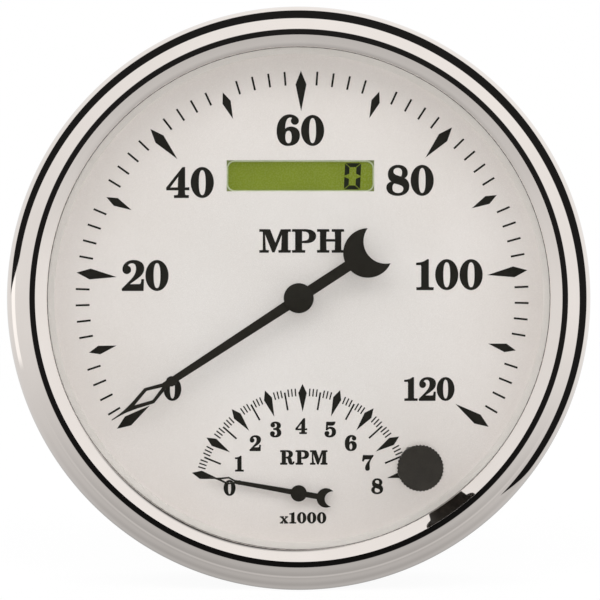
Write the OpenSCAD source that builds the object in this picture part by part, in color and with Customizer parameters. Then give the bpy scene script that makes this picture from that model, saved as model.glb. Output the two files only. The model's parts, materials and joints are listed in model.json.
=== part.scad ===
// Round dash speedometer with a rev counter, a distance window and a push button.
// Built with the dial facing -Y, 12 o'clock at +Z and the panel plane at Y = 0.
// Inside the modules x is right, y is up and z comes out of the dial; upright() turns that into place.

/* [Case] */
// Outside diameter of the can that goes through the panel
case_od = 125; // [116:1:150]
// Wall of the can
case_wall = 1.5; // [1:0.1:2]
// Depth of the can behind the panel
case_depth = 40; // [38:1:70]
// Radius of the can's rear edge
case_round = 4; // [2:0.5:8]
// How far the can's front flange stands out
flange_w = 2.8; // [2:0.1:5]
// Thickness of the flange
flange_t = 1.4; // [1:0.1:3]

/* [Bezel] */
// Sheet the bezel is pressed from
bezel_sheet = 0.8; // [0.5:0.1:1.2]
// Gap between the flange and the bezel wall
crimp_gap = 1.4; // [0.8:0.1:3]
// Gap between the can and the bezel's rear lip
lip_gap = 0.9; // [0.4:0.1:1.5]
// Radius of the bezel's outer crown
crown_r = 6.3; // [4:0.1:6.3]
// Radius of the bezel's rear edge
rear_round = 1.2; // [0.8:0.1:1.8]
// How far the opening stands inside the can's bore
opening_inset = 3.2; // [2:0.1:6]
// Width of the inner bevel seen from the front
bevel_w = 2.5; // [1.5:0.1:3]
// Height of the inner bevel
bevel_drop = 1.6; // [1.6:0.05:4]
// Width of the foot that presses on the gasket
foot_w = 1.2; // [0.8:0.1:2]

/* [Front stack] */
// Lens thickness
lens_t = 2; // [1.5:0.1:4]
// Gasket thickness when pressed
gasket_t = 1; // [0.5:0.1:2]
// Width of the gasket ring
gasket_w = 5.4; // [3:0.1:5.6]
// Room for the pointers between dial and lens
pointer_room = 7; // [6.8:0.1:12]
// Width of the spacer ring on the dial
spacer_w = 3.4; // [2:0.1:4]
// Width of the spacer ring under the lens
spacer_lip = 0.8; // [0.8:0.1:2]
// Dial plate thickness
dial_t = 0.8; // [0.5:0.1:1.5]
// Light guide thickness
guide_t = 3; // [2:0.1:5]
// Chassis plate thickness
chassis_t = 2; // [1.5:0.1:4]
// Gap round the stacked discs in the can
fit_gap = 0.3; // [0.2:0.05:0.8]

/* [Speed pointer] */
// Pivot to tip
speed_len = 51.8; // [44:0.2:54]
// Blade thickness, shared by both pointers
blade_t = 0.8; // [0.5:0.1:1]
// Radius of the hub cap
speed_cap_r = 3.48; // [3:0.02:5]
// Height of the hub cap
speed_cap_h = 1; // [0.6:0.1:1.2]
// Gap between hub cap and lens
cap_gap = 0.5; // [0.4:0.1:1]
// Speed shown at rest, on a scale of 0 to 120
speed_shown = 0.9; // [0:0.1:120]

/* [Rev pointer] */
// Pivot to tip
rev_len = 21.2; // [19:0.2:27]
// Radius of the hub cap
rev_cap_r = 1.9; // [1.8:0.02:3]
// Height of the hub cap
rev_cap_h = 0.6; // [0.5:0.1:0.8]
// Height of the blade's underside over the dial
rev_lift = 1.6; // [1.2:0.1:2]
// Dial edge to the rev counter's pivot
rev_edge = 15.2; // [14:0.1:16]
// Revs shown at rest, in thousands, on a scale of 0 to 8
revs_shown = 0; // [0:0.1:8]

/* [Display] */
// Width of the window in the dial
window_w = 34.6; // [20:0.2:36]
// Height of the window in the dial
window_h = 7.3; // [5:0.1:9]
// Dial edge to the window's middle
window_edge = 32; // [30:0.1:33]
// How far the window sits to the right of the pivots
window_x = 0.4; // [-1:0.1:1]
// Margin of the display glass round the window
glass_margin = 2.4; // [2:0.1:3]
// Display glass thickness
glass_t = 1.8; // [1:0.1:2.4]
// Wall of the display frame
frame_wall = 1.2; // [0.8:0.1:1.6]
// Lip of the display frame over the glass
frame_lip = 0.6; // [0.4:0.1:1]
// Radius of the frame's window corners
window_round = 1.8; // [0.8:0.1:2.2]

/* [Motors] */
// Height of a motor
motor_h = 9; // [9:0.1:12]
// Radius of a motor housing
motor_r = 16.5; // [16.5:0.1:18]
// Wall of a motor housing
motor_wall = 1; // [0.8:0.05:1]
// Gap between motor and chassis plate
motor_gap = 0.4; // [0.3:0.1:1]
// Gear module
tooth_m = 0.2; // [0.19:0.005:0.205]
// Teeth on both pinions
pinion_teeth = 12; // [12:1:14]
// Teeth on the idler wheel
idler_teeth = 60; // [54:1:62]
// Teeth on the output wheel
output_teeth = 84; // [78:1:86]
// Gap taken off each tooth flank
flank_gap = 0.035; // [0.03:0.005:0.045]
// Height of a tooth outside the pitch circle, in modules
tooth_top = 0.8; // [0.7:0.05:0.85]
// Width of the gear wheels
gear_w = 0.8; // [0.6:0.1:1]
// Output shaft radius
shaft_r = 0.6; // [0.5:0.05:0.8]
// Axle pin radius
axle_r = 0.4; // [0.3:0.05:0.5]
// Running gap of shafts and axles
run_gap = 0.05; // [0.03:0.01:0.08]
// Rotor magnet radius
magnet_r = 2.8; // [2.2:0.1:3]
// Gap between magnet and stator
pole_gap = 0.3; // [0.3:0.05:0.5]

/* [Circuit board] */
// Board thickness
board_t = 1.6; // [1:0.1:2]
// Gap from the can's bore to the board
board_gap = 3.5; // [2.5:0.1:5]
// Board edge to the screws
screw_inset = 7.5; // [6:0.1:9]
// Screw shank radius
screw_r = 1; // [0.8:0.05:1.25]
// Length of the screws in the chassis
screw_len = 6; // [4:0.5:8]
// Board edge to the lamps
lamp_inset = 15.5; // [15:0.1:17]
// Radius of the capacitor cans
can_r = 4; // [3:0.1:4.5]
// Height of the capacitor cans
can_h = 9; // [6:0.5:12]

/* [Button] */
// Cap diameter
cap_d = 10.5; // [9.6:0.1:13]
// Cap height
cap_h = 11.2; // [7:0.1:12]
// Height of the cap's ribbed head
cap_head_h = 1.5; // [1.5:0.1:4]
// Diameter of the cap's foot
cap_foot_d = 6.2; // [5.6:0.1:8]
// Diameter of the cap's neck below the head
cap_neck_d = 8.6; // [8:0.1:8.8]
// Travel
travel = 1.2; // [0.6:0.1:1.3]
// Dial edge to the button's middle
button_edge = 13.8; // [12:0.1:15]
// Clock angle of the button, counted from 3 o'clock
button_angle = -54.4; // [-57:0.1:-51]
// Stem radius
stem_r = 1.75; // [1.4:0.05:1.9]
// Bush radius in the lens
bush_r = 3; // [2.8:0.05:3.4]
// Bush flange thickness
bush_flange_t = 0.7; // [0.5:0.1:1]
// Ribs round the cap
cap_ribs = 40; // [24:1:60]
// Spring wire diameter
wire_d = 0.5; // [0.3:0.05:0.5]
// Switch body width
switch_w = 7; // [6.4:0.1:8]
// Switch body height
switch_h = 3.2; // [2.8:0.1:3.6]

/* [Rear] */
// Distance between the studs
stud_spacing = 70; // [64:1:74]
// Radius of the stud's free end
stud_r = 2; // [1.5:0.1:2.5]
// How much wider the stud's root is, under the nut
stud_step = 0.5; // [0.3:0.1:1]
// Free stud length behind the root
stud_free = 13.5; // [6:0.5:24]
// Nut height
nut_h = 3.2; // [2.4:0.1:4]
// Lock washer thickness
washer_t = 1; // [0.6:0.1:1.5]
// Harness socket width
socket_w = 26; // [20:0.5:30]
// Harness socket height
socket_h = 12; // [10:0.5:14]
// How far the socket stands out of the can
socket_out = 4; // [2:0.5:8]
// Depth of the socket
socket_deep = 14; // [9:0.5:15]
// Socket wall
socket_wall = 1.2; // [0.8:0.1:1.6]
// Pin width
pin_w = 0.8; // [0.6:0.1:1]
// Pin spacing
pin_pitch = 4; // [3.6:0.1:4.4]

/* [Hidden] */
$fn = 96;
near = 0.02;
lap = 0.2;
past = 1;
case_r = case_od / 2;
bore_r = case_r - case_wall;
flange_r = case_r + flange_w;
bezel_r = flange_r + crimp_gap + bezel_sheet;
opening_r = bore_r - opening_inset;
lens_back = bezel_sheet + flange_t;
lens_front = lens_back + lens_t;
foot_z = lens_front + gasket_t;
brow_z = foot_z + bezel_sheet;
crest_z = brow_z + bevel_drop;
disc_r = bore_r - fit_gap;
dial_top = lens_back - pointer_room;
guide_top = dial_top - dial_t;
plate_top = guide_top - guide_t;
plate_low = plate_top - chassis_t;
motor_top = plate_low - motor_gap;
board_top = motor_top - motor_h;
board_low = board_top - board_t;
back_in = case_wall - case_depth;
board_r = bore_r - board_gap;
screw_ring = board_r - screw_inset;
screw_at = [20, 160, 215, 325];
lamp_ring = board_r - lamp_inset;
lamp_at = [45, 90, 135, 200, 240, 340];
rev_y = rev_edge - disc_r;
window_y = disc_r - window_edge;
glass_w = window_w + 2 * glass_margin;
glass_h = window_h + 2 * glass_margin;
frame_w = glass_w + 2 * frame_wall + 2 * fit_gap;
frame_h = glass_h + 2 * frame_wall + 2 * fit_gap;
glass_top = guide_top - frame_lip;
glass_low = glass_top - glass_t;
speed_blade_z = lens_back - cap_gap - speed_cap_h - blade_t;
rev_blade_z = dial_top + rev_lift;
speed_angle = 215 - speed_shown * 250 / 120;
rev_angle = 170 - revs_shown * 20;
button_ring = disc_r - button_edge;
cap_low = lens_front + bush_flange_t + travel + fit_gap;
switch_top = board_top + switch_h;
plunger_top = switch_top + travel + 0.4;
plunger_gap = 0.15;
switch_floor = 0.6;
collar_w = 1.3;
collar_top = plate_low - 0.1;
collar_low = collar_top - 1.2;
spring_gap = 0.35;
spring_r = stem_r + spring_gap + wire_d / 2;
spring_turns = 4;
column_wall = 3;
cap_r = cap_d / 2;
cap_top = cap_low + cap_h;
cap_roof = 1.5;
cap_chamfer = 0.5;
rib_depth = 0.22;
knurl_gap = 0.35;
dish_r = 28;
dish_depth = 0.35;
bush_nut_t = 1.3;
bush_lip = 1.2;
seal_r = 0.32;
seal_room = 1;
seal_gap = 0.1;
stem_gap = 0.5;
neck_inset = 0.4;
lens_inset = 0.8;
bevel_fold = 0.4;
speed_hole_r = 2;
rev_hole_r = 1.5;
boss_hole_r = 3;
lamp_hole_r = 3;
lamp_size = [3, 2.8, 1.9];
rim_w = 1.8;
rim_gap = 2;
pillar_wall = 2.2;
pillar_r = screw_r + pillar_wall;
screw_end = 0.4;
head_r = screw_r * 2.2;
head_h = screw_r * 1.6;
slot_w = screw_r / 2;
slot_deep = screw_r * 0.8;
chip_at = board_r * [[-0.348, 0.452], [-0.348, -0.383], [0.348, -0.383]];
chip_size = board_r * [[0.174, 0.174, 0.024], [0.139, 0.104, 0.026], [0.113, 0.174, 0.04]];
can_y = board_r * -0.626;
can_step = can_r * 2.5;
contact_gap = 0.6;
contact_short = 2;
column_r = stud_r + column_wall;
root_r = stud_r + stud_step;
root_end = -case_depth - washer_t - nut_h - stud_step;
stud_tip = root_end - stud_free;
washer_r = root_r * 1.9;
washer_slot = root_r * 0.3;
nut_flat = root_r * 1.6;
socket_y = 14;
socket_end = -case_depth - socket_out;
socket_floor = socket_end + socket_deep;
key_w = 6;
key_t = 1.6;
key_gap = 0.4;
pin_len = 8;
floor_z = board_top + motor_wall;
roof_z = motor_top - motor_wall;
press_angle = 25;
tooth_root = 1.25;
rotor_gap = tooth_m * (pinion_teeth + idler_teeth) / 2;
output_gap = tooth_m * (pinion_teeth + output_teeth) / 2;
idler_turn = 45;
rotor_turn = -60;
idler_at = [output_gap * cos(idler_turn), output_gap * sin(idler_turn)];
rotor_at = idler_at + [rotor_gap * cos(rotor_turn), rotor_gap * sin(rotor_turn)];
motor_mid = [6, 0];
output_z = roof_z - 1.8;
idler_z = output_z - 1.6;
stator_z = idler_z - 1.5;
split_z = output_z - 0.8;
magnet_low = floor_z + 0.8;
magnet_top = idler_z - 0.5;
end_gap = 0.1;
axle_seat = 0.5;
post_r = 3 * axle_r;
rotor_post_r = 2.5 * axle_r;
foot_boss_r = 2;
foot_boss_h = 1.6;
neck_r = 4 * shaft_r;
neck_h = 1;
post_h = 0.4;
rotor_post_gap = 0.1;
pinion_gap = 0.5;
output_hub_r = 1.6;
stator_t = 0.8;
pole_r = 5;
limb_gap = 3.1;
limb_w = 1.8;
limb_end = -10.4;
yoke_w = 8;
yoke_t = 1.4;
coil_r = 2.4;
coil_len = 5;
coil_end = -5.2;
shaft_grip = 0.4;
rev_shaft_grip = 0.3;
dome_h = 0.6;
speed_hub_r = 2.2;
speed_hub_gap = 0.8;
rev_hub_gap = 0.5;
rev_front = 0.43;
lance_half = [[0, 0], [0.1, 0.12], [2.3, 0.22], [3.9, 0.4], [6.4, 0.94], [10.4, 2.08], [14.6, 0.74]];
lance_eye = [[6.3, 0], [10.5, 1.28], [14, 0], [10.5, -1.28]];
shank_end = 14.2;
speed_shank = [1.2, 0.78];
rev_shank = [0.62, 0.43];
bead_r = 1.2;
bead_at = 16.5;
speed_tail = [15, 2.5];
rev_tail = [5.2, 1.3];
speed_moon = [19.2, 5.75];
speed_moon_cut = [24.15, 5.2];
rev_moon = [6.5, 2.25];
rev_moon_cut = [8, 1.8];

// Placing
module upright() {
  rotate([90, 0, 0]) children();
}

module at_speed_motor() {
  upright() rotate(180) children();
}

module at_rev_motor() {
  upright() translate([0, rev_y, 0]) rotate(90) children();
}

module at_button() {
  upright() rotate(button_angle) translate([button_ring, 0, 0]) rotate(-button_angle) children();
}

module at_polar(r, a) {
  rotate(a) translate([r, 0, 0]) rotate(-a) children();
}

module at_studs() {
  for (side = [-1, 1]) translate([side * stud_spacing / 2, 0, 0]) children();
}

// Plain shapes
module disc(r, z0, z1) {
  translate([0, 0, z0]) cylinder(r = r, h = z1 - z0);
}

module ring(ro, ri, z0, z1) {
  difference() {
    disc(ro, z0, z1);
    disc(ri, z0 - past, z1 + past);
  }
}

module block(w, h, z0, z1) {
  translate([-w / 2, -h / 2, z0]) cube([w, h, z1 - z0]);
}

module round_rect(w, h, r) {
  square([w - 2 * r, h], center = true);
  square([w, h - 2 * r], center = true);
  for (sx = [-1, 1], sy = [-1, 1]) translate([sx * (w / 2 - r), sy * (h / 2 - r)]) circle(r);
}

// Bezel
module crown(r) {
  rotate_extrude() translate([bezel_r - crown_r, crest_z - crown_r]) intersection() {
    circle(r);
    translate([-lap, -lap]) square(r + 1);
  }
}

module bezel_outside() {
  crown(crown_r);
  disc(bezel_r, rear_round, crest_z - crown_r);
  disc(bezel_r - crown_r, 0, crest_z);
  disc(bezel_r - rear_round, 0, rear_round + lap);
  translate([0, 0, rear_round]) rotate_extrude() translate([bezel_r - rear_round, 0]) circle(rear_round);
}

module bezel_inside() {
  crown(crown_r - bezel_sheet);
  disc(bezel_r - bezel_sheet, bezel_sheet, crest_z - crown_r);
  disc(bezel_r - crown_r, bezel_sheet, foot_z);
  disc(case_r + lip_gap, -past, bezel_sheet + lap);
  disc(opening_r, -past, crest_z + past);
  translate([0, 0, brow_z]) cylinder(r1 = opening_r, r2 = opening_r + bevel_w, h = bevel_drop);
  rotate_extrude() polygon([[opening_r + foot_w, foot_z - lap], [opening_r + foot_w, foot_z],
    [opening_r + bevel_w + bevel_fold, crest_z - bezel_sheet], [bezel_r - crown_r, crest_z - bezel_sheet],
    [bezel_r - crown_r, foot_z - lap]]);
}

module bezel() {
  color("silver") upright() difference() {
    bezel_outside();
    bezel_inside();
  }
}

module lens_gasket() {
  color("black") upright() ring(opening_r + gasket_w, opening_r, lens_front, foot_z);
}

module lens() {
  color("white", 0.25) difference() {
    upright() disc(flange_r - lens_inset, lens_back, lens_front);
    at_button() disc(bush_r + near, lens_back - past, lens_front + past);
  }
}

module spacer_ring() {
  color("whitesmoke") upright() difference() {
    disc(disc_r, dial_top, lens_back);
    translate([0, 0, dial_top - near])
      cylinder(r1 = disc_r - spacer_w, r2 = disc_r - spacer_lip, h = pointer_room + 2 * near);
  }
}

// Dial stack
module dial() {
  color("ivory") difference() {
    upright() disc(disc_r, guide_top, dial_top);
    at_display() block(window_w, window_h, guide_top - past, dial_top + past);
    upright() disc(speed_hole_r, guide_top - past, dial_top + past);
    upright() translate([0, rev_y, 0]) disc(rev_hole_r, guide_top - past, dial_top + past);
    at_button() disc(stem_r + stem_gap, guide_top - past, dial_top + past);
  }
}

module plate_holes(z0, z1) {
  at_display() block(frame_w + 2 * fit_gap, frame_h + 2 * fit_gap, z0, z1);
  upright() disc(boss_hole_r, z0, z1);
  upright() translate([0, rev_y, 0]) disc(boss_hole_r, z0, z1);
  at_button() disc(stem_r + stem_gap, z0, z1);
}

module light_guide() {
  color("white", 0.5) difference() {
    upright() disc(disc_r, plate_top, guide_top);
    plate_holes(plate_top - past, guide_top + past);
  }
}

module chassis() {
  color("gainsboro") difference() {
    upright() union() {
      disc(disc_r, plate_low, plate_top);
      ring(disc_r, disc_r - rim_w, board_top + rim_gap, plate_low + lap);
      for (a = screw_at) at_polar(screw_ring, a) disc(pillar_r, board_top, plate_low + lap);
      at_studs() disc(column_r, back_in, plate_low + lap);
    }
    plate_holes(plate_low - past, plate_top + past);
    upright() for (a = lamp_at) at_polar(lamp_ring, a)
      disc(lamp_hole_r, plate_low - past, plate_top + past);
    upright() for (a = screw_at) at_polar(screw_ring, a)
      disc(screw_r + near, board_top - past, board_top + screw_len);
    upright() at_studs() disc(root_r + near, back_in - past, board_top);
  }
}

// Can and rear fittings
module case_outline() {
  translate([0, -case_depth]) square([case_r - case_round, case_depth]);
  translate([0, case_round - case_depth]) square([case_r, case_depth - case_round]);
  translate([case_r - case_round, case_round - case_depth]) circle(case_round);
  square([case_r - neck_inset, bezel_sheet]);
  translate([0, bezel_sheet]) square([flange_r, flange_t]);
}

module case_hollow() {
  in_round = max(case_round - case_wall, lap);
  translate([0, back_in]) square([bore_r - in_round, case_depth]);
  translate([0, back_in + in_round]) square([bore_r, case_depth + lens_back]);
  translate([bore_r - in_round, back_in + in_round]) circle(in_round);
}

module case() {
  color("dimgray") upright() difference() {
    rotate_extrude() difference() {
      case_outline();
      case_hollow();
    }
    at_studs() disc(root_r + fit_gap, -case_depth - past, back_in + past);
    translate([0, socket_y, 0])
      block(socket_w + 2 * fit_gap, socket_h + 2 * fit_gap, -case_depth - past, back_in + past);
  }
}

module mounting_studs() {
  color("silver") upright() at_studs() union() {
    disc(root_r, root_end, board_top);
    disc(stud_r, stud_tip, root_end + lap);
  }
}

module stud_washers() {
  color("gray") upright() at_studs() difference() {
    ring(washer_r, root_r + near, -case_depth - washer_t, -case_depth);
    translate([washer_r / 2, 0, 0])
      block(washer_r + lap, washer_slot, -case_depth - washer_t - past, past - case_depth);
  }
}

module stud_nuts() {
  nut_top = -case_depth - washer_t;
  color("silver") upright() at_studs() difference() {
    translate([0, 0, nut_top - nut_h]) cylinder(r = nut_flat / cos(30), h = nut_h, $fn = 6);
    disc(root_r + near, nut_top - nut_h - past, nut_top + past);
  }
}

module socket_shell() {
  color("black") upright() translate([0, socket_y, 0]) difference() {
    union() {
      block(socket_w, socket_h, socket_end, board_low);
      translate([0, socket_h / 2 - lap, 0]) block(key_w, key_t, socket_end, -case_depth - key_gap);
    }
    block(socket_w - 2 * socket_wall, socket_h - 2 * socket_wall, socket_end - past, socket_floor);
  }
}

module socket_pins() {
  color("gold") upright() translate([0, socket_y, 0])
    for (col = [-2 : 2], row = [-0.5, 0.5])
      translate([col * pin_pitch, row * pin_pitch, 0])
        block(pin_w, pin_w, socket_floor - pin_len, socket_floor);
}

// Circuit board
module circuit_board() {
  color("darkgreen") upright() difference() {
    disc(board_r, board_low, board_top);
    at_studs() disc(column_r + fit_gap, board_low - past, board_top + past);
    for (a = screw_at) at_polar(screw_ring, a)
      disc(screw_r + fit_gap, board_low - past, board_top + past);
  }
}

module board_screws() {
  color("silver") upright() for (a = screw_at) at_polar(screw_ring, a) difference() {
    union() {
      disc(screw_r, board_low, board_top + screw_len - screw_end);
      disc(head_r, board_low - head_h, board_low);
    }
    for (turn = [0, 90]) rotate(turn)
      block(slot_w, screw_r * 3, board_low - head_h - past, board_low - head_h + slot_deep);
  }
}

module board_chips() {
  color("black") upright() {
    for (i = [0 : len(chip_at) - 1]) translate(chip_at[i])
      block(chip_size[i][0], chip_size[i][1], board_low - chip_size[i][2], board_low);
  }
}

module board_capacitors() {
  color("slategray") upright() for (i = [-1, 0, 1])
    translate([i * can_step, can_y, 0]) disc(can_r, board_low - can_h, board_low);
}

module dial_lamps() {
  color("white") upright() for (a = lamp_at) at_polar(lamp_ring, a)
    block(lamp_size[0], lamp_size[1], board_top, board_top + lamp_size[2]);
}

// Display
module at_display() {
  upright() translate([window_x, window_y, 0]) children();
}

module display_glass() {
  color("olivedrab") at_display() block(glass_w, glass_h, glass_low, glass_top);
}

module display_frame() {
  color("darkolivegreen") at_display() difference() {
    block(frame_w, frame_h, board_top, guide_top);
    block(frame_w - 2 * frame_wall, frame_h - 2 * frame_wall, board_top - past, glass_top);
    translate([0, 0, glass_top - past]) linear_extrude(frame_lip + 2 * past)
      round_rect(window_w, window_h, window_round);
  }
}

module display_backlight() {
  color("white") at_display() block(window_w, window_h, board_top, glass_low);
}

module display_contacts() {
  reach = (window_h + glass_h) / 4;
  color("gray") at_display() for (side = [-1, 1])
    translate([0, side * reach, 0])
      block(glass_w - contact_short, glass_margin - contact_gap, board_top, glass_low);
}

// Gears
function polar(r, a) = [r * cos(a), r * sin(a)];

function inv(a) = tan(a) * 180 / PI - a;

function flank(r, rb, half) = half - inv(acos(min(1, rb / r)));

function gear_points(teeth) =
  let (rp = tooth_m * teeth / 2, rb = rp * cos(press_angle), ra = rp + tooth_top * tooth_m,
    rr = rp - tooth_root * tooth_m, r0 = max(rb, rr), rm = (r0 + ra) / 2,
    half = 90 / teeth - flank_gap / rp * 180 / PI + inv(press_angle))
  [for (i = [0 : teeth - 1]) let (c = 360 * i / teeth) each concat(
    rr < rb ? [polar(rr, c - flank(r0, rb, half))] : [],
    [for (r = [r0, rm, ra]) polar(r, c - flank(r, rb, half))],
    [for (r = [ra, rm, r0]) polar(r, c + flank(r, rb, half))],
    rr < rb ? [polar(rr, c + flank(r0, rb, half))] : [])];

module gear(teeth, bore, z0, z1) {
  translate([0, 0, z0]) linear_extrude(z1 - z0) difference() {
    polygon(gear_points(teeth));
    circle(bore, $fn = 48);
  }
}

// Motor, drawn with its output shaft on the axis and its housing to the right
module motor_base() {
  difference() {
    union() {
      translate(motor_mid) difference() {
        disc(motor_r, board_top, split_z);
        disc(motor_r - motor_wall, floor_z, split_z + past);
      }
      disc(foot_boss_r, floor_z, floor_z + foot_boss_h);
      translate(idler_at) disc(post_r, floor_z, idler_z - end_gap);
      translate(rotor_at) disc(rotor_post_r, floor_z, magnet_low - end_gap);
    }
    disc(shaft_r + run_gap, floor_z, floor_z + foot_boss_h + past);
    translate(idler_at) disc(axle_r + near, floor_z - axle_seat, idler_z);
    translate(rotor_at) disc(axle_r + near, floor_z - axle_seat, idler_z);
  }
}

module motor_cover() {
  difference() {
    union() {
      translate(motor_mid) difference() {
        disc(motor_r, split_z, motor_top);
        disc(motor_r - motor_wall, split_z - past, roof_z);
      }
      disc(neck_r, roof_z, motor_top + neck_h);
      translate(idler_at) disc(post_r, roof_z - post_h, roof_z);
      translate(rotor_at) disc(rotor_post_r, split_z + rotor_post_gap, roof_z);
    }
    disc(shaft_r + run_gap, roof_z - past, motor_top + neck_h + past);
    translate(idler_at) disc(axle_r + near, roof_z - post_h - past, roof_z + axle_seat);
    translate(rotor_at) disc(axle_r + near, split_z - past, roof_z + axle_seat);
  }
}

module stator_plan(grow) {
  for (side = [-1, 1]) translate([rotor_at[0] + side * limb_gap - limb_w / 2 - grow, limb_end])
    square([limb_w + 2 * grow, rotor_at[1] - limb_end]);
}

module motor_stator() {
  translate([0, 0, stator_z]) linear_extrude(stator_t) difference() {
    union() {
      stator_plan(0);
      translate(rotor_at) circle(pole_r);
      translate([rotor_at[0] - yoke_w / 2, limb_end - yoke_t]) square([yoke_w, yoke_t]);
    }
    translate(rotor_at) circle(magnet_r + pole_gap);
  }
}

module motor_coils() {
  difference() {
    for (side = [-1, 1])
      translate([rotor_at[0] + side * limb_gap, coil_end, stator_z + stator_t / 2]) rotate([90, 0, 0])
        cylinder(r = coil_r, h = coil_len);
    translate([0, 0, stator_z - near]) linear_extrude(stator_t + 2 * near) stator_plan(near);
  }
}

module motor_axles() {
  for (at = [idler_at, rotor_at]) translate(at)
    disc(axle_r, floor_z - axle_seat, roof_z + axle_seat);
}

module motor_magnet() {
  translate(rotor_at) ring(magnet_r, axle_r + run_gap, magnet_low, magnet_top);
}

module motor_rotor_pinion() {
  translate(rotor_at) rotate(rotor_turn + 180)
    gear(pinion_teeth, axle_r + run_gap, magnet_top, split_z);
}

module motor_idler_wheel() {
  wheel_turn = rotor_turn + 180 / idler_teeth;
  translate(idler_at) rotate(wheel_turn) gear(idler_teeth, axle_r + run_gap, idler_z, idler_z + gear_w);
}

module motor_idler_pinion() {
  translate(idler_at) rotate(idler_turn + 180)
    gear(pinion_teeth, axle_r + run_gap, idler_z + gear_w, roof_z - pinion_gap);
}

module motor_output_gear() {
  union() {
    rotate(idler_turn + 180 / output_teeth)
      gear(output_teeth, shaft_r + near, output_z, output_z + gear_w);
    ring(output_hub_r, shaft_r + near, output_z + gear_w - lap, roof_z - post_h);
  }
}

module motor_shaft(top) {
  disc(shaft_r, floor_z + end_gap, top);
}

module speed_motor_base() {
  color("white") at_speed_motor() motor_base();
}

module speed_motor_cover() {
  color("whitesmoke") at_speed_motor() motor_cover();
}

module speed_stator() {
  color("gray") at_speed_motor() motor_stator();
}

module speed_coils() {
  color("sienna") at_speed_motor() motor_coils();
}

module speed_axles() {
  color("silver") at_speed_motor() motor_axles();
}

module speed_magnet() {
  color("dimgray") at_speed_motor() motor_magnet();
}

module speed_rotor_pinion() {
  color("ivory") at_speed_motor() motor_rotor_pinion();
}

module speed_idler_wheel() {
  color("ivory") at_speed_motor() motor_idler_wheel();
}

module speed_idler_pinion() {
  color("ivory") at_speed_motor() motor_idler_pinion();
}

module speed_output_gear() {
  color("ivory") at_speed_motor() motor_output_gear();
}

module speed_shaft() {
  color("silver") at_speed_motor() motor_shaft(speed_blade_z + blade_t + shaft_grip);
}

module rev_motor_base() {
  color("white") at_rev_motor() motor_base();
}

module rev_motor_cover() {
  color("whitesmoke") at_rev_motor() motor_cover();
}

module rev_stator() {
  color("gray") at_rev_motor() motor_stator();
}

module rev_coils() {
  color("sienna") at_rev_motor() motor_coils();
}

module rev_axles() {
  color("silver") at_rev_motor() motor_axles();
}

module rev_magnet() {
  color("dimgray") at_rev_motor() motor_magnet();
}

module rev_rotor_pinion() {
  color("ivory") at_rev_motor() motor_rotor_pinion();
}

module rev_idler_wheel() {
  color("ivory") at_rev_motor() motor_idler_wheel();
}

module rev_idler_pinion() {
  color("ivory") at_rev_motor() motor_idler_pinion();
}

module rev_output_gear() {
  color("ivory") at_rev_motor() motor_output_gear();
}

module rev_shaft() {
  color("silver") at_rev_motor() motor_shaft(rev_blade_z + blade_t + rev_shaft_grip);
}

// Pointers, drawn along +x from the pivot
module lance(tip) {
  difference() {
    polygon(concat([for (p = lance_half) [tip - p[0], p[1]]],
      [for (i = [len(lance_half) - 1 : -1 : 1]) [tip - lance_half[i][0], -lance_half[i][1]]]));
    polygon([for (p = lance_eye) [tip - p[0], p[1]]]);
  }
}

module crescent(moon, cut) {
  difference() {
    translate([-moon[0], 0]) circle(moon[1]);
    translate([-cut[0], 0]) circle(cut[1]);
  }
}

module pointer_blade(tip, front, shank, tail, boss) {
  shank_x = tip - shank_end * front;
  difference() {
    union() {
      linear_extrude(blade_t) scale(front) lance(tip / front);
      linear_extrude(blade_t)
        polygon([[0, shank[0]], [shank_x, shank[1]], [shank_x, -shank[1]], [0, -shank[0]]]);
      translate([tip - bead_at * front, 0, 0]) cylinder(r = bead_r * front, h = blade_t);
      linear_extrude(blade_t) children();
      translate([-tail[0] / 2, 0, 0]) block(tail[0], tail[1], 0, blade_t);
      cylinder(r = boss, h = blade_t);
    }
    disc(shaft_r + near, -past, blade_t + past);
  }
}

module speed_pointer() {
  color("black") upright() rotate(speed_angle) translate([0, 0, speed_blade_z])
    pointer_blade(speed_len, 1, speed_shank, speed_tail, speed_cap_r - fit_gap)
      crescent(speed_moon, speed_moon_cut);
}

module speed_hub() {
  color("black") upright() ring(speed_hub_r, shaft_r + near, dial_top + speed_hub_gap, speed_blade_z);
}

module speed_cap() {
  base = speed_blade_z + blade_t;
  ball = (speed_cap_r * speed_cap_r + dome_h * dome_h) / (2 * dome_h);
  color("black") upright() difference() {
    union() {
      disc(speed_cap_r, base, base + speed_cap_h - dome_h);
      intersection() {
        translate([0, 0, base + speed_cap_h - ball]) sphere(ball);
        disc(speed_cap_r, base + speed_cap_h - dome_h, base + speed_cap_h + past);
      }
    }
    disc(shaft_r + near, base - past, base + shaft_grip);
  }
}

module rev_pointer() {
  color("black") upright() translate([0, rev_y, rev_blade_z]) rotate(rev_angle)
    pointer_blade(rev_len, rev_front, rev_shank, rev_tail, rev_cap_r - lap)
      crescent(rev_moon, rev_moon_cut);
}

module rev_hub() {
  color("black") upright() translate([0, rev_y, 0])
    ring(rev_hole_r, shaft_r + near, dial_top + rev_hub_gap, rev_blade_z);
}

module rev_cap() {
  base = rev_blade_z + blade_t;
  color("black") upright() translate([0, rev_y, 0]) difference() {
    disc(rev_cap_r, base, base + rev_cap_h);
    disc(shaft_r + near, base - past, base + rev_shaft_grip);
  }
}

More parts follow.
